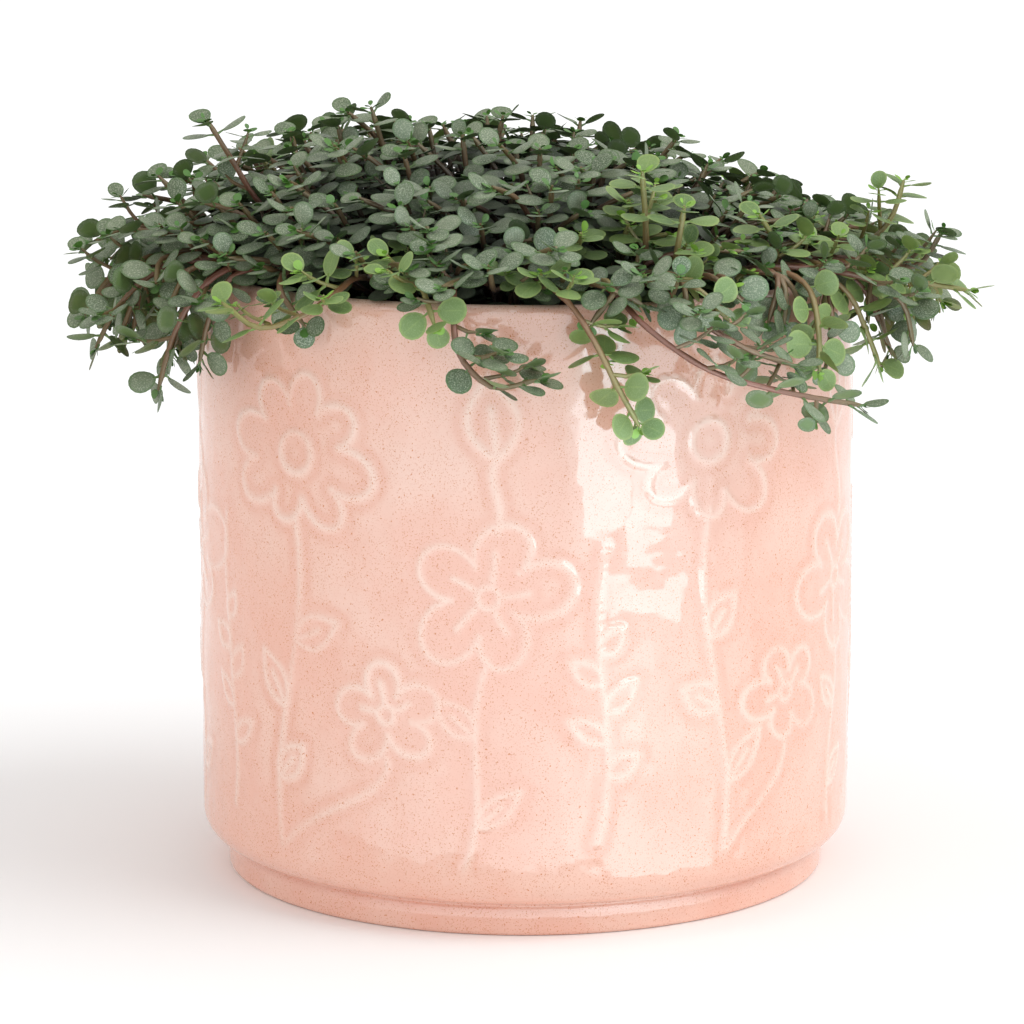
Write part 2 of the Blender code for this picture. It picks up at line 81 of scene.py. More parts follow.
@dataclass(frozen=True)
class GrowthSizes:
    """Stem and leaf sizes, spacings and clearances, in millimetres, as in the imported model."""
    stem_radius: float = 0.85
    tip_radius: float = 0.62
    branch_radius: float = 0.72
    stem_spacing: float = 10.0
    collar: float = 1.5
    hole_depth: float = 7.0
    hole_spacing: float = 5.5
    rim_crossing: tuple[float, float] = (73.0, 144.5)
    over_soil: float = 1.0
    stem_sink: float = 0.8
    fork_share: float = 0.55
    drift_step: float = 0.12
    blade: float = 0.65
    leaf_length: float = 7.6
    leaf_width: float = 6.2
    root_offset: float = 0.2
    root_share: float = 0.33
    level_share: float = 0.4
    stem_pull: float = 0.35
    branch_pairs: int = 2
    leaf_tries: int = 10
    leaf_loose: float = 0.09
    shell_margin: float = 0.3
    wall_margin: float = 0.5
    shell_steps: int = 96
    clear: float = 0.42
    mound_shoots: int = 25
    mound_radius: float = 88.0
    mound_rise: float = 31.0
    base_radius: float = 62.0
    ring_shoots: int = 7
    ring_start: float = 18.0
    ring_span: float = 144.0
    ring_base: float = 57.0
    base_share: float = 0.72
    spiral_start: float = 0.6
    spiral_offset: float = 0.6
    fork_turn: tuple[float, float] = (0.7, 1.2)
    fork_reach: tuple[float, float] = (13.0, 17.0)
    tries: int = 90
    seed: int = 7
    pair_steps: tuple[float, ...] = (1.2, 3.6, 9.5, 16.5, 24.5, 33.5, 43.5)
    pair_sizes: tuple[float, ...] = (0.84, 1.0, 1.06, 1.0)
    pair_leans: tuple[float, ...] = (48, 22, 12, 8)
    mound_skirt: float = 12.0
    mound_power: float = 2.2
    low_side_start: float = 15.0
    low_side_width: float = 90.0
    low_side_fall: float = 0.35


@dataclass(frozen=True)
class ShadeSizes:
    """Where the mound lies in its own shade, in millimetres: below its top and inside a radius."""
    start: float = 2.0
    depth: float = 10.0
    radius: float = 78.0
    fade: float = 8.0


@dataclass(frozen=True)
class Habit:
    """How closely shoots grow: the space at a base, the tries for a stem, and the pairs of leaves.

    The steps are the pairs' distances from the tip. The leaves' scale is drawn from a range, where
    there is one.
    """
    spacing: float
    tries: int
    fork_pairs: int
    steps: tuple[float, ...]
    scales: Optional[tuple[float, float]] = None


POT = PotSizes()
GROW = GrowthSizes()
SHADE = ShadeSizes()
PACKED_HABIT = Habit(GROW.hole_spacing, GROW.tries, GROW.branch_pairs, GROW.pair_steps)
FILL_HABIT = Habit(2.3, 30, 4, (1.2, 3.0, 5.9, 9.6, 14.0, 19.0, 24.5, 31.0), (0.86, 1.06))
MOUND_CENTRE = Vector((-12.0, 6.0))
LEAF_SHAPE = ((0.0, 0.0), (0.43, 0.47), (0.94, 0.26), (0.94, -0.26), (0.43, -0.47))


@dataclass
class Leaf:
    """One blade: where it grows from, the way it points, its upper face, its size and its youth."""
    root: Vector
    along: Vector
    face: Vector
    length: float
    width: float
    young: float = 0.0


@dataclass
class Stem:
    """A tube's centre line from the bottom up, and its radius at both ends."""
    line: list[Vector]
    start_radius: float
    end_radius: float


@dataclass
class Plan:
    """How a shoot should grow, before anything is in its way."""
    name: str
    base: tuple[float, float]
    route: list[Triple]
    pairs: int = 4
    young: bool = False
    branch: Optional[list[Triple]] = None


@dataclass
class Shoot:
    """A grown shoot: its plan and the stems and leaves that found room."""
    plan: Plan
    stems: list[Stem] = field(default_factory=list)
    leaves: list[Leaf] = field(default_factory=list)


NAMED_SHOOTS = [
    Plan("left_upright", (-44, -16), [(-50, -20, 145), (-59, -25, 156), (-66, -28, 168),
                                      (-70, -30, 175)], 3),
    Plan("left_cupped", (-44, 4), [(-47, 0, 150), (-51, -4, 161), (-53, -5, 170)], 3),
    Plan("top_left_near", (-34, 8), [(-37, 6, 150), (-41, 5, 163), (-43, 5, 171)], 3),
    Plan("top_left_far", (-24, 4), [(-28, 3, 152), (-32, 1, 165), (-35, 0, 175)], 4),
    Plan("top_centre", (-6, 14), [(-6, 13, 150), (-7, 11, 163), (-5, 10, 172)], 4),
    Plan("top_right", (10, 22), [(11, 24, 148), (12, 27, 160), (13, 30, 169)], 3),
    Plan("lime_spire", (25, -42), [(26, -50, 142), (26, -56, 154), (25, -60, 167)], 4, True),
    Plan("lime_front", (30, -53), [(32, -59, 146), (33, -62, 153), (34, -63, 160)], 3, True),
    Plan("lime_right", (50, -36), [(55, -40, 144), (54, -44, 151), (51, -46, 156)], 3, True),
    Plan("right_high", (58, -10), [(79, -18, 147), (83, -17, 154), (85, -15, 160)], 3, True),
    Plan("right_hook", (56, -24), [(82, -26, 142), (89, -25, 143), (93, -25, 150)], 4),
    Plan("right_reach", (55, -31), [(84, -38, 141), (91, -37, 139), (98, -36, 138)], 4, True),
    Plan("right_skirt", (42, -46), [(78, -48, 141), (83, -46, 135), (85, -45, 127)], 3),
    Plan("cascade_long", (8, -58), [(24, -82, 138), (37, -87, 129), (51, -84, 124), (64, -75, 120),
                                    (72, -70, 118)], 5),
    Plan("cascade_near", (20, -57), [(35, -82, 139), (47, -83, 132), (57, -79, 128)], 4),
    Plan("drop_front", (-3, -60), [(12, -82, 138), (18, -84, 127), (24, -85, 116)], 3, True),
    Plan("drop_centre", (-14, -58), [(-15, -80, 139), (-13, -83, 129), (-6, -84, 124),
                                     (3, -85, 126)], 4),
    Plan("rim_tuft", (-23, -56), [(-21, -79, 143), (-19, -82, 137)], 3, True),
    Plan("front_left_arch", (-30, -52), [(-44, -77, 140), (-55, -80, 136), (-64, -76, 141)], 4,
         True),
    Plan("left_drop", (-48, -34), [(-69, -50, 142), (-76, -51, 131), (-80, -50, 118)], 4),
    Plan("left_skirt", (-54, -26), [(-81, -34, 142), (-90, -36, 134), (-95, -35, 125)], 4),
    Plan("left_mid", (-56, -15), [(-78, -21, 148), (-90, -21, 150)], 4),
    Plan("left_low", (-60, -6), [(-85, -15, 144), (-94, -18, 138), (-99, -19, 130)], 4),
    Plan("left_reach", (-60, 5), [(-84, 4, 147), (-93, 1, 147), (-99, 0, 144)], 4),
]


def line_length(line: Sequence[Vector]) -> float:
    """The length of a line of points."""
    return sum((b - a).length for a, b in zip(line, line[1:]))


def point_at(line: Sequence[Vector], distance: float) -> tuple[Vector, Vector]:
    """Finds a point on a line.

    Args:
        line: The points of the line.
        distance: How far along the line to go.

    Returns:
        The point at that distance and the line's direction there.
    """
    for a, b in zip(line, line[1:]):
        step = (b - a).length
        if distance <= step or b is line[-1]:
            return a + (b - a) * (distance / step), (b - a).normalized()
        distance -= step
    return line[-1].copy(), (line[-1] - line[-2]).normalized()


def smooth_line(points: Sequence[Vector], spacing: float) -> list[Vector]:
    """Draws a Catmull-Rom curve through the points and spaces new points evenly on it.

    Args:
        points: The points that the curve passes.
        spacing: The distance between the new points.

    Returns:
        The evenly spaced points.
    """
    guide = [2 * points[0] - points[1], *points, 2 * points[-1] - points[-2]]
    dense = [points[0]]
    for p0, p1, p2, p3 in zip(guide, guide[1:], guide[2:], guide[3:]):
        for step in range(1, 9):
            t = step / 8
            dense.append(0.5 * (2 * p1 + (p2 - p0) * t + (2 * p0 - 5 * p1 + 4 * p2 - p3) * t ** 2
                                + (3 * p1 - p0 - 3 * p2 + p3) * t ** 3))
    length = line_length(dense)
    count = max(2, round(length / spacing))
    return [point_at(dense, length * i / count)[0] for i in range(count + 1)]


def square_to(direction: Vector, hint: Vector) -> Vector:
    """The part of hint that is at right angles to direction, at unit length.

    Args:
        direction: A direction at unit length.
        hint: Where the side should point.

    Returns:
        The side, at unit length.
    """
    side = hint - direction * hint.dot(direction)
    if side.length < 1e-4:
        side = direction.orthogonal()
    return side.normalized()


def tube_shell(stem: Stem, extra: float) -> Shell:
    """A square tube round a stem for a clearance test.

    Args:
        stem: The stem.
        extra: How much wider than the stem the tube is.

    Returns:
        The tube's points and faces.
    """
    points: list[Vector] = []
    faces: list[tuple[int, ...]] = []
    for i, centre in enumerate(stem.line):
        ahead = stem.line[min(i + 1, len(stem.line) - 1)] - stem.line[max(i - 1, 0)]
        across = square_to(ahead.normalized(), Vector((0.31, 0.95, 0.1)))
        other = ahead.normalized().cross(across)
        share = i / (len(stem.line) - 1)
        radius = stem.start_radius + (stem.end_radius - stem.start_radius) * share + extra
        for a, b in ((1, 1), (-1, 1), (-1, -1), (1, -1)):
            points.append(centre + (across * a + other * b) * radius)
        if i:
            low, high = 4 * i - 4, 4 * i
            for k in range(4):
                faces.append((low + k, low + (k + 1) % 4, high + (k + 1) % 4, high + k))
    last = 4 * len(stem.line) - 4
    faces.append((last, last + 1, last + 2, last + 3))
    return points, faces


def leaf_shell(leaf: Leaf, extra: float, skip: float = 0.0) -> Shell:
    """A blade's faces and edge for a clearance test.

    Args:
        leaf: The leaf.
        extra: How far outside the blade the faces lie.
        skip: The share of the blade at its root that is left out.

    Returns:
        The shell's points and faces.
    """
    side = leaf.face.cross(leaf.along)
    corners = []
    for along, across in LEAF_SHAPE:
        ahead = max(along, skip) * leaf.length + (extra if along > 0.5 else 0.0)
        reach = across * leaf.width + math.copysign(extra, across) * (across != 0)
        corners.append(leaf.root + leaf.along * ahead + side * reach)
    count = len(corners)
    top = [corner + leaf.face * extra for corner in corners]
    bottom = [corner - leaf.face * (GROW.blade + extra) for corner in corners]
    faces = [tuple(range(count)), tuple(range(count, 2 * count))]
    faces += [(k, (k + 1) % count, count + (k + 1) % count, count + k) for k in range(count)]
    return top + bottom, faces


@dataclass
class Obstacles:
    """Everything that new growth has to stay clear of."""
    points: list[Vector] = field(default_factory=list)
    faces: list[tuple[int, ...]] = field(default_factory=list)
    tree: Optional[BVHTree] = None

    def add(self, *shells: Shell) -> None:
        """Adds the faces of some shells and makes the search tree over all faces again.

        Args:
            shells: Points and faces of each shell.
        """
        for points, faces in shells:
            start = len(self.points)
            self.points += points
            self.faces += [tuple(start + corner for corner in face) for face in faces]
        self.tree = BVHTree.FromPolygons(self.points, self.faces)

    def hits(self, shell: Shell) -> bool:
        """Whether a shell crosses any face."""
        return self.tree is not None and bool(self.tree.overlap(BVHTree.FromPolygons(*shell)))


def pot_shell() -> Shell:
    """The pot's wall and rim and the soil's top, a little oversize, for the clearance test.

    Returns:
        The points and faces.
    """
    margin = GROW.shell_margin
    inner, outer = POT.radius - POT.wall - margin, POT.radius + GROW.wall_margin
    soil, rim = POT.soil_top + margin, POT.height + margin
    profile = [(0.0, soil), (inner, soil), (inner, rim), (outer, rim), (outer, 0.0)]
    steps = GROW.shell_steps
    points = [Vector((r * math.cos(math.tau * k / steps), r * math.sin(math.tau * k / steps), z))
              for r, z in profile for k in range(steps)]
    faces = [(ring * steps + k, ring * steps + (k + 1) % steps,
              (ring + 1) * steps + (k + 1) % steps, (ring + 1) * steps + k)
             for ring in range(len(profile) - 1) for k in range(steps)]
    return points, faces


def mound_height(x: float, y: float) -> float:
    """The foliage's height over a place: it falls away from the mound's centre and to the right.

    Args:
        x: Distance to the right of the pot's axis.
        y: Distance behind it.

    Returns:
        The height in millimetres.
    """
    away = (Vector((x, y)) - MOUND_CENTRE).length / (GROW.mound_radius + GROW.mound_skirt)
    right = max(0.0, x - GROW.low_side_start) / GROW.low_side_width
    rise = GROW.mound_rise * max(0.0, 1 - away ** GROW.mound_power)
    return POT.height + 1 + rise * (1 - GROW.low_side_fall * right)


def spiral_tip(index: int, total: int, radius: float, start: float,
               offset: float) -> tuple[Vector, float]:
    """A place on an even spiral about the pot's axis: a golden angle on, at the root of its share.

    Args:
        index: The place's number.
        total: How many places fill the radius.
        radius: The spiral's outer radius.
        start: The first place's angle.
        offset: How far along its first share the first place lies.

    Returns:
        The place and its distance from the axis.
    """
    angle = index * GOLDEN_ANGLE + start
    reach = radius * math.sqrt((index + offset) / total)
    return Vector((reach * math.cos(angle), reach * math.sin(angle))), reach


def turned_flat(direction: Vector, turn: float) -> Vector:
    """A flat direction turned by an angle.

    Args:
        direction: The direction, without a height.
        turn: The angle in radians.

    Returns:
        The new direction.
    """
    other = direction.copy()
    other.rotate(Matrix.Rotation(turn, 2))
    return other


def mound_shade_depth(place: Vector) -> float:
    """How deep a place lies in the mound, which sets the painted shade of leaves and stems: 0 near
    its top or outside the rim, 1 far below.

    Args:
        place: The place in millimetres.

    Returns:
        The depth, from 0 to 1.
    """
    over = (mound_height(place.x, place.y) - place.z - SHADE.start) / SHADE.depth
    inside = (SHADE.radius - math.hypot(place.x, place.y)) / SHADE.fade
    return min(max(over, 0.0), 1.0) * min(max(inside, 0.0), 1.0)


@dataclass
class Growth:
    """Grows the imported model's shoots again, each clear of those before it.

    Leaves stay clear of the obstacles and stems of the blocks, by the clearance. Outward is how far
    a leaf's face leans away from the plant's middle.
    """
    clear: float = GROW.clear
    outward: float = 0.25
    obstacles: Obstacles = field(default_factory=Obstacles)
    blocks: Optional[Obstacles] = None
    taken: list[Vector] = field(default_factory=list)
    rng: random.Random = field(default_factory=lambda: random.Random(GROW.seed))

    def __post_init__(self) -> None:
        """Makes the pot the first obstacle, for leaves and stems alike."""
        self.obstacles.add(pot_shell())
        self.blocks = self.obstacles

    def mound_plan(self, index: int) -> Plan:
        """A shoot of the mound, its tip on an even spiral over the top of the plant.

        Args:
            index: The shoot's number on the spiral.

        Returns:
            The plan.
        """
        rng = self.rng
        tip, reach = spiral_tip(index, GROW.mound_shoots, GROW.mound_radius, GROW.spiral_start,
                                GROW.spiral_offset)
        base = tip * min(GROW.base_share, GROW.base_radius / max(reach, 1.0))
        height = mound_height(tip.x, tip.y) + rng.uniform(-2.5, 2.5)
        middle = base.lerp(tip, 0.5)
        route = [(base.x * 0.98, base.y * 0.98, POT.soil_top + 9),
                 (middle.x, middle.y, 0.4 * POT.soil_top + 0.6 * height), (tip.x, tip.y, height)]
        aside = turned_flat(tip.normalized(), rng.choice((-1, 1)) * rng.uniform(*GROW.fork_turn))
        fork = tip * 0.93 + aside * rng.uniform(*GROW.fork_reach)
        branch = [(fork.x, fork.y, mound_height(fork.x, fork.y) + rng.uniform(-3, 1.5))]
        return Plan(f"mound_{index + 1:02d}", (base.x, base.y), route, 2, False, branch)

    def ring_plan(self, index: int) -> Plan:
        """A shoot that trails over the rim round the back and sides.

        Args:
            index: The shoot's number round the rim.

        Returns:
            The plan.
        """
        rng = self.rng
        angle = math.radians(GROW.ring_start + GROW.ring_span * (index + 0.5) / GROW.ring_shoots)
        angle += rng.uniform(-0.07, 0.07)
        out = Vector((math.cos(angle), math.sin(angle)))
        fall = rng.uniform(4, 20)
        route = [(*(out * 82), 142), (*(out * 87), 140 - 0.45 * fall),
                 (*(out * rng.uniform(88, 91)), 138 - fall)]
        return Plan(f"rim_{index + 1:02d}", tuple(out * GROW.ring_base), route, 4)

    @staticmethod
    def steered(points: Sequence[Vector], rng: random.Random, size: float) -> list[Vector]:
        """The points with a random drift that is larger towards the end.

        Args:
            points: The points, of which the first stays.
            rng: The source of the drift.
            size: The largest drift at the end.

        Returns:
            The moved points.
        """
        last = len(points) - 1
        moved = [points[0].copy()]
        for i, point in enumerate(points[1:], 1):
            scale = size * (0.4 + 0.6 * i / last)
            moved.append(point + Vector([rng.uniform(-scale, scale) for _ in range(3)]))
        return moved

    def find_stem(self, points: Sequence[Vector], radii: tuple[float, float], rng: random.Random,
                  own: Optional[Obstacles], tries: int) -> Optional[Stem]:
        """Looks for a clear stem near the points.

        Args:
            points: The points that the stem should pass.
            radii: Its radius at both ends.
            rng: The source of the drift.
            own: The shoot's own stem, which a branch must not run into.
            tries: How many drifts are tried.

        Returns:
            The first clear stem, or None where all tries are blocked.
        """
        for attempt in range(tries):
            drift = GROW.drift_step * attempt
            route = self.steered(points, rng, drift) if attempt else points
            line = smooth_line(route, GROW.stem_spacing)
            stem = Stem(line, *radii)
            if self.blocks.hits(tube_shell(stem, self.clear)):
                continue
            if own is None or not own.hits(tube_shell(Stem(line[1:], *radii), 0.1)):
                return stem
        return None

    @staticmethod
    def over_rim(base: tuple[float, float], outside: Vector) -> list[Vector]:
        """The points that lift a stem from the soil over the rim, towards a point outside it.

        Args:
            base: The stem's place in the soil.
            outside: The point outside the rim.

        Returns:
            The two points.
        """
        radius, height = GROW.rim_crossing
        middle = (Vector(base) + outside.xy).normalized() * radius
        rise = Vector(base) * 1.03
        return [Vector((*rise, POT.height + GROW.over_soil)), Vector((*middle, height))]

    def grow_stems(self, plan: Plan, rng: random.Random, tries: int) -> list[Stem]:
        """The shoot's main stem, with its branch where there is one and it finds room.

        Args:
            plan: The shoot's plan.
            rng: The source of the drift.
            tries: How many drifts are tried for each stem.

        Returns:
            The stems, the main one first, or an empty list.
        """
        x, y = plan.base
        low = Vector((x, y, POT.soil_top - GROW.hole_depth + GROW.stem_sink))
        route = [Vector(point) for point in plan.route]
        if route[0].xy.length > POT.radius:
            route = self.over_rim(plan.base, route[0]) + route
        route.insert(0, Vector((x, y, POT.soil_top + GROW.collar)))
        main = self.find_stem(route, (GROW.stem_radius, GROW.tip_radius), rng, None, tries)
        if main is None:
            return []
        main.line.insert(0, low)
        stems = [main]
        if plan.branch:
            fork, ahead = point_at(main.line, GROW.fork_share * line_length(main.line))
            end = Vector(plan.branch[0])
            middle = fork.lerp(end, 0.5) + Vector((0, 0, 2.5)) + ahead * 2
            own = Obstacles()
            own.add(tube_shell(main, 0.2))
            radii = (GROW.branch_radius, GROW.tip_radius)
            side = self.find_stem([fork, middle, end], radii, rng, own, tries)
            if side:
                stems.append(side)
        return stems

    def leaf_try(self, root: Vector, ahead: Vector, around: float, lean: float, size: float,
                 rng: random.Random) -> Leaf:
        """A leaf on a stem, levelled so that its face looks to the sky, or outward where it hangs.

        Args:
            root: The place on the stem's centre line.
            ahead: The stem's direction there.
            around: The leaf's angle round the stem.
            lean: How far the leaf leans from square towards the tip.
            size: The leaf's scale.
            rng: The source of its small change of length and tilt.

        Returns:
            The leaf.
        """
        sideways = square_to(ahead, Vector((0.2, 0.1, 1.0)))
        sideways.rotate(Matrix.Rotation(around, 3, ahead))
        hang = max(0.0, -ahead.z)
        along = sideways * math.cos(lean) + ahead * math.sin(lean)
        level = GROW.level_share + (1 - GROW.level_share) * hang
        along.z = along.z * level + rng.uniform(-0.1, 0.1)
        along.normalize()
        outward = Vector((root.x, root.y, 0)).normalized()
        light = Vector((0, 0, 1 - 0.6 * hang)) + outward * (self.outward + 0.5 * hang)
        upward = ahead * math.cos(lean) - sideways * math.sin(lean)
        face = square_to(along, upward * GROW.stem_pull + light)
        spread = rng.uniform(0.93, 1.07)
        return Leaf(root + along * GROW.root_offset, along, face, GROW.leaf_length * size * spread,
                    GROW.leaf_width * size)

    def place_leaf(self, shoot: Shoot, at: tuple[Vector, Vector], pose: Triple, own: Obstacles,
                   rng: random.Random) -> None:
        """Tries a few turns of one leaf and keeps the first that is clear.

        Args:
            shoot: The shoot that takes the leaf.
            at: The place on the stem and the stem's direction there.
            pose: The leaf's angle round the stem, its lean and its scale.
            own: The shoot's own leaves.
            rng: The source of turns.
        """
        root, ahead = at
        around, lean, size = pose
        for attempt in range(GROW.leaf_tries):
            loose = GROW.leaf_loose * attempt
            leaf = self.leaf_try(root, ahead, around + rng.uniform(-loose, loose),
                                 lean + rng.uniform(-loose, loose), size * (1 - 0.02 * attempt),
                                 rng)
            if self.obstacles.hits(leaf_shell(leaf, self.clear)):
                continue
            if not own.hits(leaf_shell(leaf, 0.15, GROW.root_share)):
                shoot.leaves.append(leaf)
                own.add(leaf_shell(leaf, 0.0, GROW.root_share))
                return

    def grow_leaves(self, shoot: Shoot, stem: Stem, pairs: range, own: Obstacles,
                    rng: random.Random, steps: Sequence[float] = GROW.pair_steps,
                    scale: float = 1.0) -> None:
        """Adds opposite pairs, each a quarter turn from the last and to the sides of a level stem.

        Args:
            shoot: The shoot that takes the leaves.
            stem: The stem that they grow on.
            pairs: The levels of the pairs, counted from the tip.
            own: The shoot's own leaves, for the clearance test.
            rng: The source of turns.
            steps: Each level's distance from the tip.
            scale: The size of all the leaves.
        """
        length = line_length(stem.line)
        upright = abs(point_at(stem.line, length)[1].z)
        turn = math.pi / 4 + rng.uniform(-1, 1) * (0.25 + 0.6 * upright)
        for level in pairs:
            back = steps[level]
            if back > 0.8 * length:
                break
            at = point_at(stem.line, length - back)
            size = GROW.pair_sizes[min(level, 3)] * scale
            lean = math.radians(GROW.pair_leans[min(level, 3)])
            for half in (0, math.pi):
                self.place_leaf(shoot, at, (turn + half, lean, size), own, rng)
            turn += math.pi / 2 + rng.uniform(-0.2, 0.2)

    def keep(self, shoot: Shoot) -> None:
        """Makes a grown shoot an obstacle for the next ones.

        Args:
            shoot: The grown shoot.
        """
        self.obstacles.add(*(tube_shell(stem, 0.0) for stem in shoot.stems),
                           *(leaf_shell(leaf, 0.0) for leaf in shoot.leaves))
        self.taken.append(Vector(shoot.plan.base))

    def free_base(self, base: tuple[float, float], spacing: float) -> Vector:
        """The nearest place in the soil that keeps the spacing from the stems already there.

        Args:
            base: The place that is wished for.
            spacing: The least distance to other stems.

        Returns:
            The free place, or the wished one where none is free.
        """
        for step in range(400):
            turn = step * GOLDEN_ANGLE
            spot = Vector(base) + Vector((math.cos(turn), math.sin(turn))) * 0.6 * math.sqrt(step)
            apart = all((spot - other).length >= spacing for other in self.taken)
            if spot.length <= GROW.base_radius + 2 and apart:
                return spot
        return Vector(base)

    def grow_shoot(self, plan: Plan, rng: random.Random, habit: Habit) -> Optional[Shoot]:
        """Grows one shoot and keeps it as an obstacle for the next ones.

        Args:
            plan: The shoot's plan, whose base moves to free soil.
            rng: The source of drift and turns.
            habit: How closely it grows.

        Returns:
            The shoot, or None where it finds no room.
        """
        plan.base = tuple(self.free_base(plan.base, habit.spacing))
        shoot = Shoot(plan, self.grow_stems(plan, rng, habit.tries))
        own = Obstacles()
        scale = rng.uniform(*habit.scales) if habit.scales else 1.0
        for number, stem in enumerate(shoot.stems):
            pairs = range(plan.pairs if number == 0 else habit.fork_pairs)
            self.grow_leaves(shoot, stem, pairs, own, rng, habit.steps, scale)
        if not shoot.stems or len(shoot.leaves) < 2:
            return None
        self.keep(shoot)
        return shoot

    def grow_packed(self) -> list[Shoot]:
        """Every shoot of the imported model, the named ones first.

        Returns:
            The shoots that found room.
        """
        plans = NAMED_SHOOTS + [self.ring_plan(i) for i in range(GROW.ring_shoots)]
        plans += [self.mound_plan(i) for i in range(GROW.mound_shoots)]
        return [shoot for plan in plans if (shoot := self.grow_shoot(plan, self.rng, PACKED_HABIT))]


@dataclass(frozen=True)
class Sector:
    """A stretch of the fringe over the rim, its angles from the front towards the right."""
    name: str
    start: float
    end: float
    count: int
    drop: tuple[float, float]
    reach: tuple[float, float]
    lime_share: float = 0.15


FRINGE = (
    Sector("front_right", 5, 42, 8, (0, 8), (79, 86), 0.4),
    Sector("right_corner", 42, 78, 13, (2, 19), (80, 93), 0.45),
    Sector("right_side", 78, 112, 12, (-6, 17), (82, 99), 0.35),
    Sector("back_right", 112, 180, 14, (0, 18), (80, 92)),
    Sector("back_left", 180, 248, 14, (0, 18), (80, 92)),
    Sector("left_side", 248, 292, 17, (-4, 21), (82, 101), 0.08),
    Sector("left_corner", 292, 314, 7, (0, 18), (79, 92), 0.2),
)


